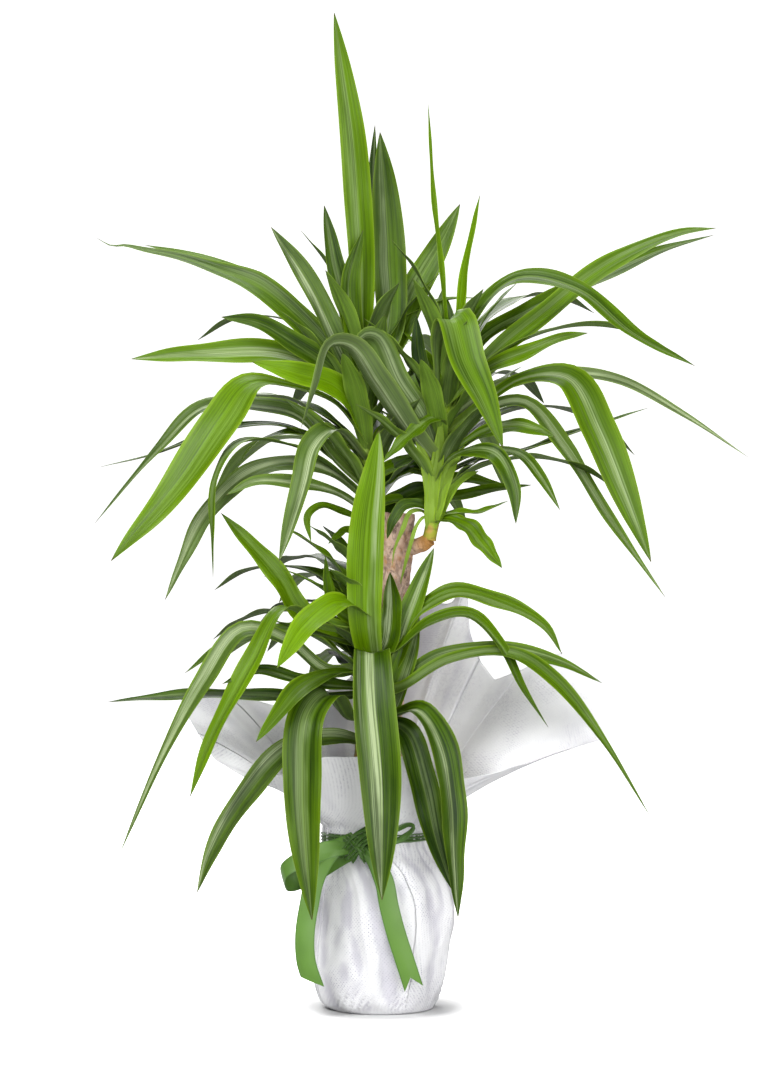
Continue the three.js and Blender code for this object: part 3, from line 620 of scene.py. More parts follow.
def flat_strip(name, fineness):
    """A flat strip with a thin body: x from 0 to 1 along, y from -1 to 1 across, z from -1 to 1."""
    along, across = fineness
    deselect()
    bpy.ops.mesh.primitive_grid_add(x_subdivisions=along, y_subdivisions=across, size=2.0)
    strip = bpy.context.object
    strip.name = name
    bpy.ops.object.mode_set(mode="EDIT")
    bpy.ops.mesh.select_all(action="SELECT")
    bpy.ops.transform.translate(value=(1.0, 0.0, 0.0))
    bpy.ops.transform.resize(value=(0.5, 1.0, 1.0), center_override=(0.0, 0.0, 0.0))
    bpy.ops.object.mode_set(mode="OBJECT")
    body = strip.modifiers.new("Body", "SOLIDIFY")
    body.thickness, body.offset, body.use_even_offset = 2.0, 0.0, False
    apply(strip, body)
    flat = coordinates(strip.data)
    unwrap_flat(strip.data, "strip", np.column_stack([flat[:, 0], (flat[:, 1] + 1.0) / 2.0]))
    mark(strip.data, underside=flat[:, 2] < 0.0)
    return strip


def round_bar(name, fineness, insets=(0.10, 0.25, 0.25)):
    """An upright bar of radius 1 from z 0 to 1, ringed all along and stepped in at both ends."""
    sides, rings = fineness
    deselect()
    bpy.ops.mesh.primitive_cylinder_add(vertices=sides, radius=1.0, depth=1.0)
    bar = bpy.context.object
    bar.name = name
    bpy.ops.object.mode_set(mode="EDIT")
    bpy.ops.transform.translate(value=(0.0, 0.0, 0.5))
    for inset in insets:
        pick(bar, "faces", lambda face: abs(face.normal.z) > 0.9 and len(face.verts) == sides)
        bpy.ops.mesh.inset(thickness=inset, depth=0.0, use_individual=True)
    pick(bar, "edges", lambda edge: abs(edge.verts[0].co.z - edge.verts[1].co.z) > 0.5)
    bpy.ops.mesh.subdivide(number_cuts=rings - 1)
    bpy.ops.object.mode_set(mode="OBJECT")
    return bar


# Materials


class Value:
    """A number in a node tree: sums, differences and products of it become Math nodes."""

    def __init__(self, nodes, socket):
        self.nodes, self.socket = nodes, socket

    def __add__(self, other):
        return self.nodes.math("ADD", self, other)

    def __sub__(self, other):
        return self.nodes.math("SUBTRACT", self, other)

    def __mul__(self, other):
        return self.nodes.math("MULTIPLY", self, other)

    def __abs__(self):
        return self.nodes.math("ABSOLUTE", self)

    def clamped(self):
        """The same sum or product, kept between 0 and 1."""
        self.socket.node.use_clamp = True
        return self

    def between(self, low, high, start=0.0, end=1.0):
        """Eases from start to end while the value goes from low to high."""
        return self.nodes.value("ShaderNodeMapRange", "Result", {
            "Value": self, "From Min": low, "From Max": high, "To Min": start, "To Max": end,
        }, interpolation_type="SMOOTHSTEP")


class Nodes:
    """Adds and links the nodes of one tree."""

    def __init__(self, tree):
        self.tree = tree

    def put(self, socket, value):
        value = getattr(value, "socket", value)
        if isinstance(value, bpy.types.NodeSocket):
            self.tree.links.new(value, socket)
        else:
            socket.default_value = value

    def add(self, kind, inputs=(), **settings):
        node = self.tree.nodes.new(kind)
        for name, value in settings.items():
            setattr(node, name, value)
        for name, value in dict(inputs).items():
            self.put(node.inputs[name], value)
        return node

    def value(self, kind, output, inputs=(), **settings):
        return Value(self, self.add(kind, inputs, **settings).outputs[output])

    def values(self, node):
        """All that a node puts out, by name."""
        return {socket.name: Value(self, socket) for socket in node.outputs}

    def math(self, operation, first, second=0.5):
        return self.value("ShaderNodeMath", 0, {0: first, 1: second}, operation=operation)

    def mix(self, factor, first, second, blend="MIX"):
        node = self.add("ShaderNodeMix", data_type="RGBA", blend_type=blend, clamp_factor=True)
        for socket, value in ((0, factor), (6, first), (7, second)):
            self.put(node.inputs[socket], value)
        return node.outputs[2]

    def position(self):
        return self.add("ShaderNodeTexCoord").outputs["Object"]

    def flat_map(self, name):
        return self.add("ShaderNodeUVMap", uv_map=name).outputs[0]

    def vector(self, x, y, z):
        return self.add("ShaderNodeCombineXYZ", {0: x, 1: y, 2: z}).outputs[0]

    def parts(self, vector):
        split = self.add("ShaderNodeSeparateXYZ", {0: vector})
        return [Value(self, socket) for socket in split.outputs]

    def scaled(self, vector, scale, offset=(0.0, 0.0, 0.0)):
        inputs = {"Vector": vector, "Scale": scale, "Location": offset}
        return self.add("ShaderNodeMapping", inputs).outputs[0]

    def noise(self, vector, scale, detail=3.0, roughness=0.55, distortion=0.0):
        return self.value("ShaderNodeTexNoise", 0, {
            "Vector": vector, "Scale": scale, "Detail": detail, "Roughness": roughness,
            "Distortion": distortion,
        })

    def cells(self, vector, scale):
        return self.value("ShaderNodeTexVoronoi", "Distance", {"Vector": vector, "Scale": scale},
                          feature="F1")

    def attribute(self, name):
        return self.value("ShaderNodeAttribute", "Fac", attribute_name=name)

    def group(self, name, **inputs):
        """What one of the groups of GROUPS puts out; the group is made when first asked for."""
        return self.values(self.add("ShaderNodeGroup", inputs, node_tree=node_group(name)))


class Surface(Nodes):
    """A new material with a Principled shader; uniform values go straight on its sockets."""

    def __init__(self, name, **uniform):
        self.material = bpy.data.materials.new(name)
        self.material.use_nodes = True
        super().__init__(self.material.node_tree)
        self.inputs = self.tree.nodes["Principled BSDF"].inputs
        for socket, value in uniform.items():
            self.inputs[socket.replace("_", " ")].default_value = value

    def finished(self, colour, roughness, height, depth, strength):
        """The material, with this colour and roughness, and a height pressed so many metres in."""
        bump = self.add("ShaderNodeBump", {"Height": height, "Distance": depth,
                                           "Strength": strength})
        self.put(self.inputs["Base Color"], colour)
        self.put(self.inputs["Roughness"], roughness)
        self.put(self.inputs["Normal"], bump.outputs[0])
        return self.material


def leaf_markings(n, given):
    """Long ribs, streaks, a painted sheen, pale foot, midrib, dry tip and the matt underside of a
    blade.
    """
    along, across, _ = n.parts(n.flat_map("strip"))
    tone, bloom, under = (n.attribute(name) for name in ("tone", "bloom", "underside"))
    shifted = n.vector(along, across, n.attribute("seed"))
    fine = n.noise(n.scaled(shifted, (2.0, 34.0, 17.0)), 1.0, 4.0, 0.6)
    broad = n.noise(n.scaled(shifted, (1.1, 6.5, 11.0)), 1.0, 2.0, 0.5)
    patch = n.noise(n.scaled(shifted, (5.0, 2.0, 23.0)), 1.0, 2.0, 0.5)
    # how green: the leaf's own tone, moved by streaks along it
    streaks = (fine - 0.5) * given["Streak"] + (broad - 0.5) * 0.7 + (patch - 0.5) * 0.5
    green = (tone + streaks).clamped()
    colour = n.mix(green, given["Deep"], given["Fresh"])
    vein = fine.between(0.34, 0.60, 0.70, 1.0)
    colour = n.mix(1.0, colour, n.vector(vein, vein, vein), blend="MULTIPLY")
    # the painted sheen, a painted reflection, lies in one broad band beside the midrib, broken
    # along the blade
    off = abs(across - 0.5 - (n.attribute("aside") + (broad - 0.5) * 0.5))
    band = off.between(0.04, 0.22, 1.0, 0.0) * fine.between(0.40, 0.56, 0.25, 1.0)
    band = band * patch.between(0.36, 0.56, 0.45, 1.0)
    colour = n.mix(bloom * band, colour, given["Grey"])
    # above 1 the painted sheen is a painted haze of reflection over the whole face as well
    painted_haze = (bloom - 1.0).clamped() * (patch + fine * 0.4).between(0.50, 0.82, 0.45, 1.0)
    colour = n.mix(painted_haze, colour, given["Grey"])
    # above 1 the tone is the pale yellow green of a sheath
    colour = n.mix((tone - 1.0).clamped(), colour, given["Foot"])
    # the yellow green towards the margins, the midrib and the thin pale edge
    middle = abs(across - 0.5)
    margin = middle.between(0.36, 0.49, 0.0, 0.50) * (tone * 0.8 + 0.2)
    colour = n.mix(margin, colour, given["Margin"])
    midrib = middle.between(0.003, 0.022, 0.16, 0.0)
    edge = middle.between(0.478, 0.497, 0.0, 0.45)
    colour = n.mix(n.math("MAXIMUM", midrib, edge), colour, given["Foot"])
    # the clasping foot
    foot = along.between(0.02, 0.16, 0.55, 0.0) * (green * 0.6 + 0.4)
    colour = n.mix(foot, colour, given["Foot"])
    # the dried tip, drawn back a little further on the edges
    dry = (along + middle * 0.02).between(0.985, 1.0, 0.0, 0.8)
    colour = n.mix(dry, colour, given["Tip"])
    # the paler, matt underside
    colour = n.mix(under * 0.10, colour, given["Grey"])
    return {"Color": colour, "Roughness": fine * 0.22 + under * 0.16 + dry * 0.3 + 0.22,
            "Ribs": fine * 0.6 + broad}


def weathering(n, given):
    """Fibrous cracks, flaky ridges and level scars of old bark, on object coordinates."""
    position = n.position()
    stretch = n.vector(1.0, 1.0, given["Stretch"])
    drawn = n.add("ShaderNodeVectorMath", {0: position, 1: stretch}, operation="MULTIPLY")
    fibre = n.noise(drawn.outputs[0], given["Scale"], 6.0, 0.65, 0.6)
    cracks = fibre.between(0.40, 0.50, 1.0, 0.0)
    flakes = n.cells(position, given["Scale"] * 0.9).between(0.25, 0.75)
    height = n.parts(position)[2]
    level = n.math("FRACT", height * 95.0 + n.noise(position, 45.0, 3.0, 0.5) * 1.8)
    scars = abs(level - 0.5).between(0.03, 0.16, 1.0, 0.0)
    return {"Cracks": cracks, "Flakes": flakes, "Scars": scars,
            "Height": fibre * 1.2 - cracks * 0.5 - scars * 0.35 + flakes * 0.3}


def weave(n, given):
    """Threads or pressed dots on a cloth, from its own flat map in metres."""
    rate = n.math("DIVIDE", TAU, given["Pitch"])
    scaled = n.add("ShaderNodeVectorMath", {0: given["Map"], "Scale": rate}, operation="SCALE")
    one, two = (n.math("SINE", part) for part in n.parts(scaled.outputs[0])[:2])
    return {"Dots": (one * two).between(0.15, 0.75), "Threads": (one + two) * 0.5}


# Shader groups: what fills each, its inputs and its outputs
GROUPS = {
    "leaf markings": (leaf_markings,
                      {"Deep": "Color", "Fresh": "Color", "Margin": "Color", "Grey": "Color",
                       "Foot": "Color", "Tip": "Color", "Streak": "Float"},
                      {"Color": "Color", "Roughness": "Float", "Ribs": "Float"}),
    "weathering": (weathering, {"Scale": "Float", "Stretch": "Float"},
                   {"Cracks": "Float", "Flakes": "Float", "Scars": "Float", "Height": "Float"}),
    "weave": (weave, {"Map": "Vector", "Pitch": "Float"}, {"Dots": "Float", "Threads": "Float"}),
}


def node_group(name):
    """One of the groups of GROUPS, made when it isn't there yet."""
    tree = bpy.data.node_groups.get(name)
    if tree is None:
        fill, inputs, outputs = GROUPS[name]
        tree = bpy.data.node_groups.new(name, "ShaderNodeTree")
        for way, sockets in (("INPUT", inputs), ("OUTPUT", outputs)):
            for label, kind in sockets.items():
                tree.interface.new_socket(label, in_out=way, socket_type=f"NodeSocket{kind}")
        n = Nodes(tree)
        given = n.values(n.add("NodeGroupInput"))
        n.add("NodeGroupOutput", fill(n, given))
    return tree


def blade_material(name, leaves, streak):
    n = Surface(name, Specular_IOR_Level=0.13)
    marks = n.group("leaf markings", Deep=leaves.deep, Fresh=leaves.fresh, Margin=leaves.young,
                    Grey=leaves.grey, Foot=leaves.foot, Tip=leaves.tip, Streak=streak)
    return n.finished(marks["Color"], marks["Roughness"], marks["Ribs"], 0.0006, 0.8)


def bark_material(canes):
    n = Surface("cane_bark", Specular_IOR_Level=0.25)
    age = n.group("weathering", Scale=190.0, Stretch=0.45)
    position = n.position()
    cloud = n.noise(position, 42.0, 4.0, 0.62)
    blotch = n.noise(n.scaled(position, (1.0, 1.0, 0.7), (0.3, 0.1, 0.7)), 95.0, 5.0, 0.65)
    colour = n.mix(cloud.between(0.40, 0.60), canes.bark, canes.cork)
    for factor, tinge in (
        (blotch.between(0.54, 0.64, 0.0, 0.60), canes.bud),
        (blotch.between(0.45, 0.38, 0.0, 0.80), canes.crack),
        (age["Flakes"] * 0.25, canes.cork),
        (age["Scars"] * 0.05, canes.crack),
        (age["Cracks"] * 0.42, canes.crack),
    ):
        colour = n.mix(factor, colour, tinge)
    grain = n.noise(n.scaled(position, (1.0, 1.0, 6.0)), 260.0, 4.0, 0.6)
    colour = n.mix(n.attribute("cut"), colour, n.mix(grain, canes.cut, canes.bark))
    bud = n.attribute("bud") * cloud.between(0.25, 0.6, 0.5, 1.0)
    colour = n.mix(bud, colour, canes.bud)
    return n.finished(colour, age["Flakes"].between(0.0, 1.0, 0.72, 0.92), age["Height"],
                      0.0010, 0.8)


def shoot_material(leaves, canes):
    """The shoot between the leaf feet: dry and orange brown at its foot, pale green above."""
    n = Surface("shoot", IOR=1.4, Specular_IOR_Level=0.4)
    age = n.group("weathering", Scale=130.0, Stretch=0.4)
    foot = (n.attribute("climb") + age["Flakes"] * 0.10).between(0.02, 0.22, 0.8, 0.0)
    colour = n.mix(foot, n.mix(age["Flakes"], leaves.foot, leaves.young), canes.bud)
    colour = n.mix(age["Scars"] * 0.25, colour, leaves.deep)
    return n.finished(colour, age["Flakes"].between(0.0, 1.0, 0.45, 0.65), age["Height"],
                      0.0006, 0.6)


def sheet_material(wrap):
    n = Surface("white_nonwoven", Sheen_Weight=0.05, Sheen_Roughness=0.5, Specular_IOR_Level=0.1)
    dots = n.group("weave", Map=n.flat_map("cloth"), Pitch=wrap.dot_pitch)["Dots"]
    position = n.position()
    fibre = n.noise(position, 900.0, 3.0, 0.7)
    cloud = n.noise(position, 22.0, 3.0, 0.55)
    speckle = n.noise(position, 380.0, 2.0, 0.6).between(0.44, 0.58, 0.15, 1.0)
    colour = n.mix(cloud.between(0.30, 0.70, 0.0, 0.10), wrap.white, wrap.shade)
    # painted shade in the valleys and beside the folds
    colour = n.mix(n.attribute("fold") * 0.55, colour, wrap.shade)
    colour = n.mix(dots * cloud.between(0.42, 0.60, 0.15, 1.0) * speckle, colour, wrap.shade)
    return n.finished(colour, fibre.between(0.2, 0.8, 0.66, 0.9), fibre * 0.35 - dots, 0.0003, 0.6)


def satin_material(ribbon):
    n = Surface("green_satin", Sheen_Weight=0.25, Sheen_Roughness=0.4, Specular_IOR_Level=0.4)
    along, across, _ = n.parts(n.flat_map("strip"))
    border = abs(across - 0.5).between(0.425, 0.455)
    metres = n.vector(along * n.attribute("run"), across * ribbon.width, n.attribute("seed"))
    threads = n.group("weave", Map=metres, Pitch=0.0011)["Threads"]
    cloud = n.noise(n.scaled(metres, (16.0, 30.0, 9.0)), 1.0, 2.0, 0.5)
    # painted shade: random patches of the satin turned from the light
    colour = n.mix(cloud.between(0.36, 0.70, 0.0, 0.35), ribbon.satin, ribbon.dark)
    colour = n.mix(border * 0.7, colour, ribbon.border)
    # painted shade where the ribbon is pinched at its knot end or crumpled
    colour = n.mix(n.attribute("fold") * 0.85, colour, ribbon.dark)
    return n.finished(colour, cloud.between(0.3, 0.7, 0.36, 0.50), threads, 0.00012, 0.35)


def plastic_material(pot):
    n = Surface("nursery_plastic", Specular_IOR_Level=0.45)
    position = n.position()
    scuff = n.noise(n.scaled(position, (1.0, 1.0, 0.25)), 90.0, 5.0, 0.65)
    colour = n.mix(scuff.between(0.56, 0.74) * 0.5, pot.plastic, pot.crumb)
    return n.finished(colour, scuff.between(0.3, 0.7, 0.38, 0.62),
                      n.noise(position, 1400.0, 2.0, 0.5), 0.0001, 0.5)


def soil_material(pot):
    n = Surface("potting_soil", Specular_IOR_Level=0.2)
    position = n.position()
    lump = n.cells(position, 230.0)
    crumb = n.noise(position, 420.0, 5.0, 0.7)
    fibre = n.noise(n.scaled(position, (1.0, 0.3, 1.0)), 160.0, 3.0, 0.6, 1.5).between(0.60, 0.68)
    colour = n.mix(fibre * 0.8, pot.soil, pot.crumb)
    colour = n.mix(lump.between(0.2, 0.8, 0.0, 0.5), colour, pot.soil)
    return n.finished(colour, crumb.between(0.3, 0.7, 0.82, 0.97), crumb * 0.8 + lump, 0.003, 0.9)


def floor_material(stage):
    """Bright to the camera, while the floor throws less light back under the leaves."""
    n = Surface("pale_floor", Roughness=0.9, Specular_IOR_Level=0.05)
    position = n.position()
    direct = n.value("ShaderNodeLightPath", "Is Camera Ray")
    cloud = n.noise(position, 1.5, 2.0, 0.5)
    far = n.value("ShaderNodeVectorMath", "Value", {0: position}, operation="LENGTH")
    n.put(n.inputs["Base Color"], n.mix(direct * cloud.between(0.2, 0.8, 0.96, 1.0),
                                        (0.60, 0.60, 0.60, 1.0), stage.floor))
    # a painted glow, seen only by the camera, whitens the floor but for a disc round the pot; the
    # edge of that disc, and not the lamps alone, paints where the pot's shadow ends
    n.inputs["Emission Color"].default_value = (1.0, 1.0, 1.0, 1.0)
    n.put(n.inputs["Emission Strength"], direct * far.between(0.064, 0.118))
    return n.material


def paint(piece, *materials):
    piece.data.materials.clear()
    for material in materials:
        piece.data.materials.append(material)


# Leaves


def half_width(along, fullness, late):
    """A blade's half width for a width of 1: a clasping foot, widest in the middle, a sharp tip."""
    foot = 0.27 + 0.23 * np.sin(np.pi * along)
    if late:
        foot = 0.17 + 0.33 * smooth(0.26, 0.5, along)
    beyond = np.clip((along - 0.5) / 0.5, 0.0, 1.0)
    tip = np.maximum(0.5 * np.maximum(1.0 - beyond**fullness, 0.0) ** 0.9, 0.008)
    return np.where(along < 0.5, foot, tip)


def lay_blade(template, name, route, width, leaves, marks, seed, fullness=FULL, late=False,
              aside=None):
    """One blade laid along its route, folded along its middle, ribbed and wavy at its edges."""
    flat = coordinates(template.data)
    along, across, side = flat[:, 0], flat[:, 1], flat[:, 2]
    dice = np.random.default_rng(seed)
    half = width * half_width(along, fullness, late)
    deep = leaves.channel * dice.uniform(0.7, 1.5) * (1.0 + 1.1 * (1.0 - along) ** 3)
    raised = 2.0 * half * deep * (0.75 * np.abs(across) + 0.25 * across**2)
    swell = smooth(0.03, 0.25, along) * (1.0 - smooth(0.85, 1.0, along))
    ribs = sum(
        dice.uniform(0.4, 1.0) * np.sin(np.pi * k * across + dice.uniform(0.0, TAU) + 1.5 * along)
        for k in (2, 3, 5)
    )
    ribs = leaves.ripple / METRE * ribs * np.minimum(half / BROAD, 1.0) * swell
    waves = dice.integers(2, 5)
    shift = dice.uniform(0.0, TAU, 2)
    edge = leaves.edge_wave / METRE * across**2 * swell * np.minimum(half / BROAD, 1.3)
    edge = edge * np.sin(TAU * waves * along + np.where(across < 0.0, shift[0], shift[1]))
    body = 0.5 * leaves.thickness / METRE * (1.0 - 0.7 * across**4) * (1.0 - 0.6 * along**6)
    body = body * (1.0 + 1.2 * (1.0 - along) ** 6)
    piece = copy_of(template, name)
    move_to(piece.data, route.lay(along, half * across, raised + ribs + edge + side * body))
    tone, bloom = marks
    mark(piece.data, tone=tone, bloom=bloom, seed=dice.uniform(0.0, 10.0),
         aside=dice.uniform(-0.27, 0.27) if aside is None else aside)
    return piece


def table_route(shoot, row):
    """The route of one leaf of the tables, and its width, tone and bloom."""
    start, width, face, twist, tone, bloom, *points = row
    line = [shoot.at(np.array([start]))[0], *seen_line(points)]
    halfway = Route(line).tangents[STATIONS // 2]
    inward = np.array([-halfway[2], 0.0, halfway[0]])
    if halfway[0] < 0.0:
        inward = -inward
    turned = unit(inward) * math.cos(math.radians(face)) + FRONT * math.sin(math.radians(face))
    return Route(line, turned, twist), width, (tone, bloom)


def ring_route(shoot, ring, i):
    """The route of one leaf of a ring, placed by the golden angle and arching over."""
    turn = ring["start"] + (ring["end"] - ring["start"]) * (i * GOLDEN % 1)
    first, last = ring["clear"]
    if first < turn < last:
        turn = first if turn < (first + last) / 2.0 else last
    out = np.array([math.cos(math.radians(turn)), math.sin(math.radians(turn)), 0.0])
    up = ring["low"] + (ring["high"] - ring["low"]) * (i + 0.5) / ring["count"]
    reach = ring["reach"] * (ring["reach_from"] + ring["reach_by"] * (i * EVEN % 1))
    points = [shoot.at(np.array([up]))[0]]
    for k in range(ring["stretches"]):
        rise = math.radians(ring["rise"] + ring["steeper"] * up - ring["droop"] * k)
        step = reach / ring["stretches"] * (out * math.cos(rise) + UP * math.sin(rise))
        points.append(points[-1] + step)
    return Route(points, UP - ring["lean"] * out)


def grow_head(name, leaves, canes):
    """One shoot with all its leaves, as one piece."""
    shoot = Route(seen_line(SHOOTS[name]))
    blade = flat_strip("blade_template", FINENESS["blade"])
    bar = round_bar("shoot_template", FINENESS["shoot"])
    pieces = []
    for i, row in enumerate(LEAVES[name]):
        route, width, marks = table_route(shoot, row)
        pieces.append(lay_blade(blade, f"{name}_leaf_{i}", route, width, leaves, marks,
                                TABLE_SEED + i, SLENDER if i in SLENDER_LEAVES[name] else FULL,
                                i in LATE_LEAVES[name], PAINTED_SHEEN_BANDS[name].get(i)))
    for label, ring in RINGS[name].items():
        for i in range(ring["count"]):
            seed = ring["seed"] + i
            dice = np.random.default_rng(seed)
            marks = (dice.uniform(*ring["tone"]), dice.uniform(*ring["bloom"]))
            width = ring["width"] * dice.uniform(*ring["vary"])
            pieces.append(lay_blade(blade, f"{name}_{label}_{i}", ring_route(shoot, ring, i),
                                    width, leaves, marks, seed))
    core = copy_of(bar, f"{name}_core")
    flat = coordinates(core.data)
    along = flat[:, 2]
    wide, narrow = CORES[name]
    # seven rings of leaf scars up the shoot
    scars = 1.0 + 0.02 * np.sin(TAU * 7.0 * along + 3.0 * flat[:, 0] + 2.0 * flat[:, 1])
    girth = (wide + (narrow - wide) * along) * scars
    move_to(core.data, shoot.lay(along, flat[:, 0] * girth, flat[:, 1] * girth))
    unwrap_flat(core.data, "strip", np.column_stack([along, flat[:, 0]]))
    mark(core.data, climb=along)
    stem = shoot_material(leaves, canes)
    green = blade_material(f"{name}_blades", leaves, STREAKS[name])
    for piece in pieces:
        paint(piece, green)
    paint(core, stem)
    head = join([*pieces, core], f"{name}_crown")
    discard(blade, bar)
    shade(head, CRISP)
    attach(head, "root")
    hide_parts(f"{name}_head")


# Canes


def rough_bark(point, relief):
    """How far the bark stands out at a point in millimetres: long cracks, level scars and lumps."""
    x, y, z = point
    crack = noise.ridged_multi_fractal(Vector((x * 0.16, y * 0.16, z * 0.045)), 0.9, 2.1, 4, 0.9,
                                       2.0)
    lump = noise.fractal(Vector((x * 0.06, y * 0.06, z * 0.06)), 0.8, 2.0, 3)
    scar = math.sin(z * 0.62 + 2.2 * noise.noise(Vector((x * 0.05, y * 0.05, z * 0.03))))
    return relief * (0.5 * (1.1 - crack) + 1.1 * lump + 0.12 * scar)


def lay_cane(template, name, points, radii, canes, lobes, bud_from=None):
    """A cane or branch on its route, barked and cut.

    Lobes is how far its flat sides wind round it, and bud_from where its bud scale begins.
    """
    route = Route(seen_line(points))
    flat = coordinates(template.data)
    along = flat[:, 2]
    foot, top = (radius / METRE for radius in radii)
    angle = np.arctan2(flat[:, 1], flat[:, 0])
    turn = along * lobes
    radius = foot + (top - foot) * along
    radius = radius * (1.0 + 0.05 * np.sin(3 * angle + turn) * np.cos(5 * angle - 2 * turn))
    points = route.lay(along, flat[:, 0] * radius, flat[:, 1] * radius)
    away = unit(points - route.at(along))
    rough = np.array([rough_bark(p, canes.relief / METRE) for p in points])
    out = np.hypot(flat[:, 0], flat[:, 1])
    points = points + away * (rough * smooth(0.6, 0.97, out))[:, None]
    # the cut top is worn down unevenly and has a rim of bark
    top_face = (along > 0.999) & (out < 0.97)
    points[top_face] -= UP * (0.9 + 0.7 * rough[top_face] * (1.0 - out[top_face]))[:, None]
    piece = copy_of(template, name)
    move_to(piece.data, points)
    mark(piece.data, cut=top_face,
         bud=0.0 if bud_from is None else smooth(bud_from, 0.95, along))
    return piece


# Floral sheet


def sheet_rows(around, body_rows, flare_rows):
    """Rows of points of the smooth sheet, from under the pot up to the neck and out to the rim."""
    angles = np.radians(RIM_START + 360.0 * np.arange(around) / around)
    floor = np.full(around, SHEET_FLOOR)
    middle = BODY_RINGS[0][1]
    rows = [np.column_stack([middle + r * np.cos(angles), r * np.sin(angles), floor])
            for r in UNDER_POT]
    for height, cx, rx, ry in Route(BODY_RINGS).at(np.linspace(0.0, 1.0, body_rows)):
        rows.append(np.column_stack([cx + rx * np.cos(angles), ry * np.sin(angles),
                                     np.full(around, max(height, SHEET_FLOOR))]))
    foot = rows[-1]
    corners = np.array(seen_line([*RIM, RIM[0]]))
    sides = np.linalg.norm(np.diff(corners, axis=0), axis=1)
    reached = np.concatenate([[0.0], np.cumsum(sides)])
    stops = reached[-1] * np.arange(around) / around
    rim = np.column_stack([np.interp(stops, reached, row) for row in corners.T])
    rim = (np.roll(rim, -1, axis=0) + 2.0 * rim + np.roll(rim, 1, axis=0)) / 4.0
    reach = np.linalg.norm(rim - foot, axis=1, keepdims=True)
    # the flare's rows lie on arcs from the neck to the rim, bent towards these points
    bend = foot + 0.4 * (rim - foot) + UP * 0.12 * reach
    for k in range(1, flare_rows + 1):
        t = k / flare_rows
        rows.append(foot * (1 - t) ** 2 + bend * 2 * t * (1 - t) + rim * t * t)
    return np.array(rows), len(UNDER_POT) + body_rows - 1


def outward(rows):
    """Unit vectors square to the sheet, pointing away from the pot."""
    sideways = np.roll(rows, -1, axis=1) - np.roll(rows, 1, axis=1)
    return unit(np.cross(sideways, np.gradient(rows, axis=0)))


def round_at(rows, angles):
    """The rows of a smooth sheet, read at other angles round it, one row of angles each."""
    count, around = rows.shape[:2]
    where = ((angles - RIM_START) / 360.0 % 1.0) * around
    low = np.floor(where).astype(int)
    part = (where - low)[:, :, None]
    row = np.arange(count)[:, None]
    return rows[row, low % around] * (1 - part) + rows[row, (low + 1) % around] * part


def crease(phase, sharp=0.8):
    """A wave with sharp folds, between -1 and 1."""
    return 1.0 - 2.0 * np.abs(2.0 * (phase % 1.0) - 1.0) ** sharp


def wave(turn, times, phase=0.0):
    """A sine that runs so many times round the sheet."""
    return np.sin(TAU * (times * turn + phase))


def hump(value, width, power=2):
    """1 where the value is 0, falling away on both sides."""
    return np.exp(-np.abs(value / width) ** power)


def turned_from(angles, middle):
    """How far the angles lie from another one, between -180 and 180."""
    return (angles - middle + 180.0) % 360.0 - 180.0


def lapped(down, out, wrap):
    """The spare cloth laid over itself in laps: the angle and the layer of each row's columns."""
    neck, foot, above = (np.array(values, float) for values in zip(*LAPS))
    part = np.diff(neck, append=neck[0] + 360.0) / 360.0
    forward = np.maximum(10, np.rint(wrap.columns * part)).astype(int)
    back = 0.42 * wrap.columns * np.minimum(part, np.roll(part, 1))
    back = np.maximum(5, np.rint(back)).astype(int)
    knots = np.concatenate([[0], np.cumsum(forward + back)]).astype(int)
    edges = neck + (foot - neck) * down[:, None]
    spacing = np.diff(np.column_stack([edges, edges[:, :1] + 360.0]), axis=1)
    room = np.minimum(spacing, np.roll(spacing, 1, axis=1))
    under_neck = np.interp(down, (0.0, 0.25, 0.5, 0.8, 0.95, 1.0),
                           (0.85, 0.80, 0.55, 0.28, 0.06, 0.01))
    over_neck = np.interp(out, (0.0, 0.3, 1.0), (0.92, 0.80, 0.72))
    left = 1.0 - (1.0 - above) * smooth(0.02, 0.30, out)[:, None]
    lap = wrap.fullness * room * np.where(out > 0.0, over_neck, under_neck)[:, None] * left
    layer = wrap.lap_lift / METRE * (1.0 + 3.2 * smooth(0.0, 1.0, out))
    layer = layer * (1.0 - smooth(0.9, 1.0, down))
    top, low = edges + lap / 2.0, edges - lap / 2.0
    columns = np.arange(knots[-1])
    # each lap's cloth runs forward to its top edge, then back under it to its low edge
    at = np.sort(np.concatenate([knots, knots[:-1] + back]))
    height = np.where(np.arange(len(at)) % 2 == 0, 1.0, -1.0)
    flat = np.interp(columns, at, height)
    rounded = np.sin(np.pi / 2.0 * flat)
    angles, layers = np.empty((2, len(down), len(columns)))
    turn, lift = np.empty((2, len(at)))
    for i in range(len(down)):
        turn[0::2] = np.append(top[i], top[i, 0] + 360.0)
        turn[1::2] = low[i]
        lift[0::2] = np.append(left[i], left[i, 0])
        lift[1::2] = left[i]
        angles[i] = np.interp(columns, at, turn)
        layers[i] = layer[i] * (flat + (rounded - flat) * smooth(0.0, 0.5, out[i]))
        layers[i] *= np.interp(columns, at, lift)
    return angles, layers


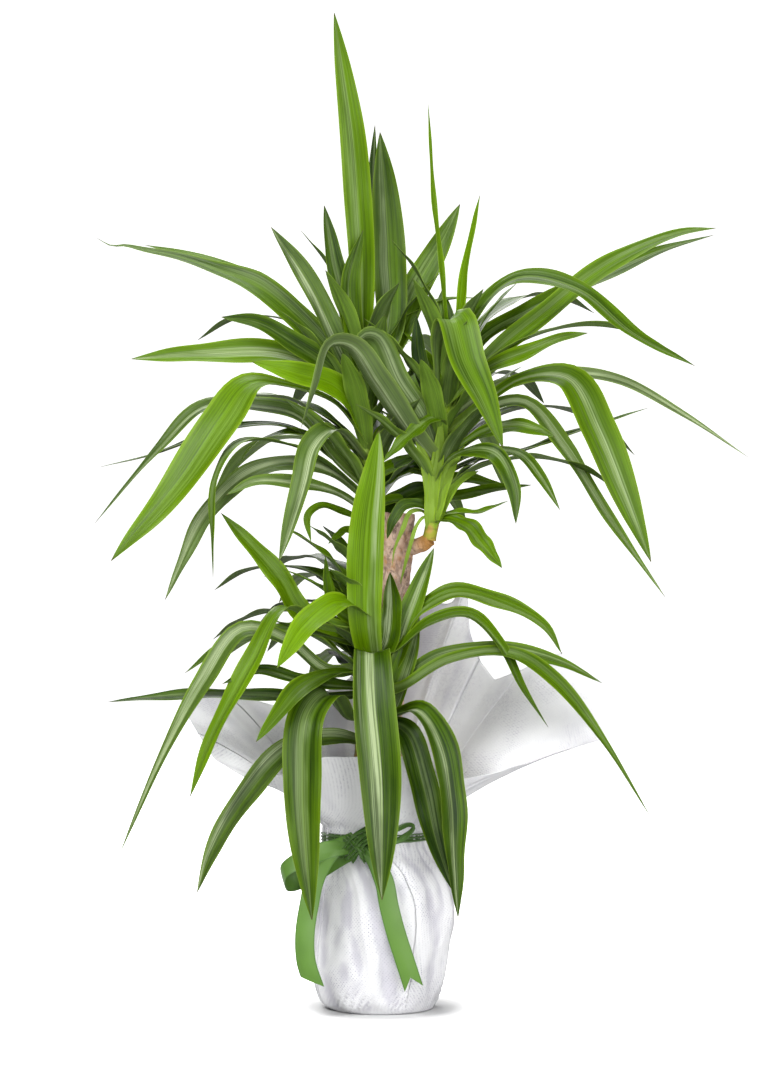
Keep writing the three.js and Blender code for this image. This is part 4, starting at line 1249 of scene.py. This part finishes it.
def pleated(turn, from_neck, out, wrap):
    """The pleats under the ribbon, and what is left of them down the body and up the flare."""
    below, above = np.maximum(-from_neck, 0.0), np.maximum(from_neck, 0.0)
    warp = 0.016 * wave(turn, 3, 0.2) + 0.009 * wave(turn, 7, 0.7)
    warp = warp + 0.003 * wave(turn, 17, 0.4 + out / np.pi)
    drift = 0.05 * wave(turn, 2, 0.1) * below / 120.0
    fine = crease(wrap.pleats * (turn + warp + drift))
    lively = 0.45 + 0.55 * wave(turn, 5, 0.3) * wave(turn, 11, 0.9)
    left = np.where(above > 0.0, 1.0 - smooth(0.0, 0.9, out), np.exp(-below / 24.0))
    coarse = crease(wrap.pleats / 2 * (turn + warp) + 0.3, 1.1)
    swell = 0.7 * np.exp(-below / 45.0) * smooth(0.0, 18.0, below) + 1.3 * smooth(0.05, 0.4, out)
    return wrap.pleat_depth / METRE * (fine * lively * left + coarse * swell)


def long_folds(angles, down):
    """The folds down the body, each with a valley beside it."""
    lift = np.zeros_like(angles)
    for at_neck, at_foot, high, width in FOLDS:
        away = turned_from(angles, at_neck + (at_foot - at_neck) * down)
        narrow = width * (0.5 + 0.9 * down)
        shape = hump(away, narrow, 1.3) - 0.5 * hump(away - 1.9 * narrow, narrow)
        lift += high * shape * smooth(0.02, 0.25, down) * (1 - smooth(0.80, 1.0, down))
    return lift


def foot_crinkles(angles, height):
    """Slanting crinkles in patches round the foot, with a broad patch at the front left."""
    turn = angles / 360.0
    slanting = crease((angles * 1.2 - height) / 7.0, 1.2)
    patch = smooth(-0.1, 0.5, wave(turn, 5, 0.1) + 0.4 * wave(turn, 9))
    patch = np.maximum(0.6 * patch, hump(turned_from(angles, -115.0), 24.0, 4))
    return 1.8 * slanting * patch * smooth(3.0, 8.0, height) * (1 - smooth(18.0, 34.0, height))


def crumpled(point):
    """How far the creases that lie all over the sheet lift it at a point, for a crumple of 1."""
    x, y, z = point
    big = noise.ridged_multi_fractal(Vector((x * 0.016, y * 0.016, z * 0.012)), 0.9, 2.2, 3, 0.9,
                                     2.0)
    small = noise.noise(Vector((x * 0.07, y * 0.07, z * 0.05)))
    facet = noise.voronoi(Vector((x * 0.040, y * 0.040, z * 0.026)))[0][0]
    return 0.5 * (big - 1.0) + 0.25 * small + 1.9 * (facet - 0.45)


def stilled(angles, out, height):
    """The share of all folds that is left: less in the flat panels, none where the pot stands."""
    calm = np.ones_like(angles)
    for middle, half, least in CALM:
        away = np.abs(turned_from(angles, middle))
        calm = np.minimum(calm, least + (1.0 - least) * smooth(half, half + 16.0, away))
    share_left = 1.0 + (calm - 1.0) * smooth(0.0, 0.25, out)
    off_pot = np.arange(len(angles))[:, None] > len(UNDER_POT)
    return share_left * smooth(0.0, 6.0, height) * off_pot


def gather(wrap):
    """The sheet's rows, their normals, the folds without and with the laps, and the way up it."""
    plain, neck_row = sheet_rows(**SHEET_GRID)
    normals = outward(plain)
    step = np.linalg.norm(np.diff(plain, axis=0), axis=2).mean(axis=1)
    travelled = np.concatenate([[0.0], np.cumsum(step)])
    from_neck = travelled - travelled[neck_row]
    body = travelled[neck_row] - travelled[len(UNDER_POT)]
    down = np.clip(-from_neck / body, 0.0, 1.0)
    out = np.clip(from_neck / from_neck[-1], 0.0, 1.0)
    angles, layers = lapped(down, out, wrap)
    rows, normals = round_at(plain, angles), unit(round_at(normals, angles))
    turn, height = angles / 360.0, rows[:, :, 2]
    from_neck, down, out = from_neck[:, None], down[:, None], out[:, None]
    lift = pleated(turn, from_neck, out, wrap)
    swing = 0.15 + 1.2 / TAU * wave(turn, 4)
    lift += wave(turn, 7, swing) * 5.0 * smooth(0.2, 1.0, out)
    lift += long_folds(angles, down) + foot_crinkles(angles, height)
    # the creases are flattened where the ribbon holds the sheet
    held = 1.0 - 0.85 * hump(from_neck + 8.0, 12.0)
    rumple = np.array([[crumpled(point) for point in row] for row in rows])
    lift += rumple * wrap.crumple / METRE * held
    left = stilled(angles, out, height)
    return rows, normals, lift * left, (lift + layers) * left, travelled


def lay_sheet(wrap):
    """The whole sheet as one cloth, from the grid that its rows are laid on."""
    plain, normals, shape, lift, travelled = gather(wrap)
    rows = plain + normals * (lift - 0.5 * wrap.thickness / METRE)[:, :, None]
    count, around = rows.shape[:2]
    deselect()
    bpy.ops.mesh.primitive_grid_add(x_subdivisions=around, y_subdivisions=count - 1, size=2.0)
    piece = bpy.context.object
    piece.name = piece.data.name = "floral_sheet"
    flat = coordinates(piece.data)
    column = np.rint((flat[:, 0] + 1.0) / 2.0 * around).astype(int)
    row = np.rint((flat[:, 1] + 1.0) / 2.0 * (count - 1)).astype(int)
    across = np.linalg.norm(np.roll(plain, -1, axis=1) - plain, axis=2)
    run = np.concatenate([np.zeros((count, 1)), np.cumsum(across, axis=1)], axis=1)
    unwrap_flat(piece.data, "cloth", np.column_stack([run[row, column], travelled[row]]) * METRE)
    move_to(piece.data, rows[row, column % around])
    # painted shade in the valleys, and painted shade on the falling side of each fold
    sunk = 0.5 * (np.roll(shape, 5, axis=1) + np.roll(shape, -5, axis=1)) - shape
    beside = np.roll(shape, 8, axis=1) - shape
    folded = np.maximum(smooth(0.0, 1.6, sunk), smooth(0.8, 4.0, beside))
    mark(piece.data, fold=folded[row, column % around])
    weld(piece, 1e-6)
    body = piece.modifiers.new("Body", "SOLIDIFY")
    body.thickness, body.offset = wrap.thickness, 0.0
    apply(piece, body)
    return piece


# Ribbon


def lay_ribbon(template, name, points, ribbon, seed, face=FRONT, twist=0.0, closed=False,
               notch=0.0, slant=0.0, cup=0.0, pinch=0.0, squeeze=0.0, facing=None):
    """A length of ribbon on its route, with the far end notched or slanted, the near end pinched.

    Squeeze crumples it to a narrower band, and facing is a mask for turn_outward.
    """
    route = Route(points, face, twist, closed)
    if facing:
        turn_outward(route, facing)
    flat = coordinates(template.data)
    along, across, side = flat[:, 0], flat[:, 1], flat[:, 2]
    slanted = abs(slant) * (1.0 + math.copysign(1.0, slant) * across) / 2.0
    cut = notch * (1.0 - np.abs(across)) + slanted
    shares = along - smooth(0.72, 1.0, along) * cut / route.length
    dice = np.random.default_rng(seed)
    half = 0.5 * ribbon.width / METRE * (1.0 - pinch * (1.0 - smooth(0.0, 0.30, along)))
    half = half * (1.0 - squeeze)
    ripple = 0.2 * sum(dice.uniform(0.3, 0.7) * np.sin(TAU * k * along + dice.uniform(0, TAU))
                       for k in (2, 3, 5))
    folds = pinch * 2.0 * (1.0 - smooth(0.0, 0.35, along)) * np.sin(2.2 * np.pi * across)
    crumple = np.sin(2.6 * np.pi * across + 9.0 * along + dice.uniform(0, TAU))
    arch = cup * (1.0 - across**2) + ripple + folds + squeeze * 2.6 * crumple
    body = 0.5 * ribbon.thickness / METRE * (1.0 - 0.3 * across**8)
    piece = copy_of(template, name)
    move_to(piece.data, route.lay(np.clip(shares, 0.0, 1.0), half * across, arch + side * body))
    # painted shade where the ribbon is pinched at its near end or squeezed into crumples
    folded = pinch * (1.0 - smooth(0.0, 0.22, along)) + 1.6 * squeeze
    mark(piece.data, seed=seed * 0.37, run=route.length * METRE, fold=np.clip(folded, 0.0, 1.0))
    return piece


def turn_outward(route, mask):
    """Turns a ribbon's face away from the middle of its loop, on the axes that the mask leaves."""
    away = (route.points - route.points.mean(axis=0)) * np.array(mask)
    away = away - route.tangents * np.sum(away * route.tangents, axis=1, keepdims=True)
    route.ups = unit(away)
    route.sides = np.cross(route.ups, route.tangents)


# Operators


class YUCCA_OT_camera(bpy.types.Operator):
    """Place the camera straight in front of the plant, at the middle of its height"""

    bl_idname = "yucca.camera"
    bl_label = "Camera"

    def execute(self, context):
        stage = context.scene.yucca.stage
        deselect()
        bpy.ops.object.camera_add(location=(stage.across, -stage.distance, stage.height),
                                  rotation=(math.pi / 2, 0.0, 0.0))
        camera = context.object
        camera.name = "front_camera"
        camera.data.lens = stage.lens
        camera.data.sensor_fit = "AUTO"
        camera.data.sensor_width = 36.0
        context.scene.camera = camera
        return {"FINISHED"}


class YUCCA_OT_pot(bpy.types.Operator):
    """Finish the nursery pot and the potting soil that are hidden in the sheet"""

    bl_idname = "yucca.pot"
    bl_label = "Pot and Soil"

    def execute(self, context):
        pot = context.scene.yucca.pot
        paint(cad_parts["nursery_pot"], plastic_material(pot))
        paint(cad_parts["potting_soil"], soil_material(pot))
        return {"FINISHED"}


class YUCCA_OT_canes(bpy.types.Operator):
    """Lay the tall cane with its short branch and the short cane, with rough bark and cut tops"""

    bl_idname = "yucca.canes"
    bl_label = "Canes"

    def execute(self, context):
        canes = context.scene.yucca.canes
        bark = bark_material(canes)
        thick = round_bar("cane_template", FINENESS["cane"])
        thin = round_bar("branch_template", FINENESS["branch"])
        tall = lay_cane(thick, "tall_cane_stem", TALL_CANE, (canes.tall_foot, canes.tall_top),
                        canes, 14.0)
        branch = lay_cane(thin, "tall_cane_branch", BRANCH, (1.15 * canes.branch, canes.branch),
                          canes, 3.0, bud_from=0.35)
        short = lay_cane(thick, "short_cane_bark", SHORT_CANE,
                         (canes.short_foot, canes.short_top), canes, 6.0)
        for piece in (tall, branch, short):
            paint(piece, bark)
        tall = join([tall, branch], "tall_cane_bark")
        discard(thick, thin)
        for piece, node in ((tall, "tall_cane"), (short, "short_cane")):
            shade(piece, CRISP)
            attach(piece, "root")
            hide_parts(node)
        return {"FINISHED"}


class YUCCA_OT_upper_heads(bpy.types.Operator):
    """Grow the two heads of the tall cane"""

    bl_idname = "yucca.upper_heads"
    bl_label = "Upper Heads"

    def execute(self, context):
        yucca = context.scene.yucca
        grow_head("upper_left", yucca.leaves, yucca.canes)
        grow_head("upper_right", yucca.leaves, yucca.canes)
        return {"FINISHED"}


class YUCCA_OT_lower_head(bpy.types.Operator):
    """Grow the large head of the short cane"""

    bl_idname = "yucca.lower_head"
    bl_label = "Lower Head"

    def execute(self, context):
        yucca = context.scene.yucca
        grow_head("lower", yucca.leaves, yucca.canes)
        return {"FINISHED"}


class YUCCA_OT_sheet(bpy.types.Operator):
    """Wrap the pot in the floral sheet, gathered at the neck and flared above it"""

    bl_idname = "yucca.sheet"
    bl_label = "Floral Sheet"

    def execute(self, context):
        wrap = context.scene.yucca.wrap
        sheet = lay_sheet(wrap)
        paint(sheet, sheet_material(wrap))
        shade(sheet, SOFT)
        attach(sheet, "root")
        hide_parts("wrap_sheet")
        return {"FINISHED"}


class YUCCA_OT_ribbon(bpy.types.Operator):
    """Tie the satin ribbon round the neck, with its knot, loops and cut tails"""

    bl_idname = "yucca.ribbon"
    bl_label = "Ribbon"

    def execute(self, context):
        ribbon = context.scene.yucca.ribbon
        strip = flat_strip("ribbon_template", FINENESS["ribbon"])
        satin = satin_material(ribbon)
        band = [(NECK["across"] + (NECK["half_width"] + NECK["outside"]) * math.cos(turn),
                 (NECK["half_depth"] + NECK["outside"]) * math.sin(turn), NECK["height"])
                for turn in (TAU * i / 24 for i in range(24))]
        pieces = [
            lay_ribbon(strip, "ribbon_band", band, ribbon, 1, closed=True, squeeze=0.55,
                       facing=(1.0, 1.0, 0.0)),
            lay_ribbon(strip, "ribbon_left_tail", seen_line(LEFT_TAIL), ribbon, 2,
                       twist=22, slant=-16.0, cup=1.4, pinch=0.15),
            lay_ribbon(strip, "ribbon_right_tail", seen_line(RIGHT_TAIL), ribbon, 3,
                       twist=-10, notch=12.0, cup=0.9, pinch=0.45),
            lay_ribbon(strip, "ribbon_left_loop", seen_line(LEFT_LOOP), ribbon, 4,
                       cup=0.4, pinch=0.2, facing=(1.0, 1.0, 0.25)),
            lay_ribbon(strip, "ribbon_right_loop", seen_line(RIGHT_LOOP), ribbon, 5,
                       cup=0.3, squeeze=0.45, facing=(1.0, 0.0, 1.0)),
        ]
        for piece in pieces:
            paint(piece, satin)
        bow = join(pieces, "ribbon_bow")
        knot = join([
            lay_ribbon(strip, f"ribbon_fold_{i}", seen_line(line), ribbon, 6 + i,
                       squeeze=0.5, face=KNOT_FACE)
            for i, line in enumerate(KNOT_FOLDS)
        ], "ribbon_knot")
        paint(knot, satin)
        discard(strip)
        for piece in (bow, knot):
            weld(piece, 2e-5)
            shade(piece, CRISP)
            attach(piece, "root")
            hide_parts("ribbon")
        return {"FINISHED"}


class YUCCA_OT_stage(bpy.types.Operator):
    """Lay the plain pale floor and set the soft studio lights"""

    bl_idname = "yucca.stage"
    bl_label = "Stage"

    def execute(self, context):
        deselect()
        # a floor that curves up into a wall behind the plant
        bpy.ops.mesh.primitive_plane_add(size=12.0, location=(0.0, 2.0, 0.0))
        floor = context.object
        floor.name = "studio_floor"
        bpy.ops.object.mode_set(mode="EDIT")
        pick(floor, "edges", lambda edge: all(v.co.y > 1.0 for v in edge.verts))
        bpy.ops.mesh.extrude_region_move(TRANSFORM_OT_translate={"value": (0.0, 0.0, 8.0)})
        bpy.ops.mesh.select_all(action="SELECT")
        pick(floor, "edges", lambda edge: all(abs(v.co.z) < 0.01 and v.co.y > 1.0
                                              for v in edge.verts))
        bpy.ops.mesh.bevel(offset=2.0, segments=24)
        bpy.ops.object.mode_set(mode="OBJECT")
        activate(floor)
        bpy.ops.object.transform_apply(location=True, rotation=True, scale=True)
        bpy.ops.object.shade_smooth()
        paint(floor, floor_material(context.scene.yucca.stage))
        world = bpy.data.worlds.new("soft_daylight")
        world.use_nodes = True
        sky = world.node_tree.nodes["Background"]
        sky.inputs["Color"].default_value, sky.inputs["Strength"].default_value = SKY
        context.scene.world = world
        for name, where, side, power in LAMPS:
            deselect()
            bpy.ops.object.light_add(type="AREA", location=where)
            lamp = context.object
            lamp.name = name
            lamp.data.shape = "SQUARE"
            lamp.data.size = side
            lamp.data.energy = power
            beam = Vector(LIT) - Vector(where)
            lamp.rotation_euler = beam.to_track_quat("-Z", "Y").to_euler()
        context.scene.view_settings.view_transform = "Standard"
        return {"FINISHED"}


class YUCCA_PT_panel(bpy.types.Panel):
    """Steps and sizes of the potted yucca"""

    bl_idname = "YUCCA_PT_panel"
    bl_label = "Potted Yucca"
    bl_space_type = "VIEW_3D"
    bl_region_type = "UI"
    bl_category = "Yucca"

    def draw(self, context):
        yucca = context.scene.yucca
        column = self.layout.column(align=True)
        for step in STEPS:
            column.operator(step.bl_idname)
        for label in ("leaves", "canes", "wrap", "ribbon", "pot", "stage"):
            group = getattr(yucca, label)
            box = self.layout.box()
            box.label(text=label.title())
            for name in group.__annotations__:
                box.prop(group, name)


STEPS = (YUCCA_OT_camera, YUCCA_OT_pot, YUCCA_OT_canes, YUCCA_OT_upper_heads, YUCCA_OT_lower_head,
         YUCCA_OT_sheet, YUCCA_OT_ribbon, YUCCA_OT_stage)
CLASSES = (YuccaLeafSettings, YuccaCaneSettings, YuccaWrapSettings, YuccaRibbonSettings,
           YuccaPotSettings, YuccaStageSettings, YuccaSettings, *STEPS, YUCCA_PT_panel)


def register():
    for cls in CLASSES:
        bpy.utils.register_class(cls)
    bpy.types.Scene.yucca = PointerProperty(type=YuccaSettings)


def unregister():
    del bpy.types.Scene.yucca
    for cls in reversed(CLASSES):
        bpy.utils.unregister_class(cls)


def main():
    register()
    bpy.ops.yucca.camera()
    bpy.ops.yucca.pot()
    bpy.ops.yucca.canes()
    bpy.ops.yucca.upper_heads()
    bpy.ops.yucca.lower_head()
    bpy.ops.yucca.sheet()
    bpy.ops.yucca.ribbon()
    bpy.ops.yucca.stage()


if __name__ == "__main__":
    main()
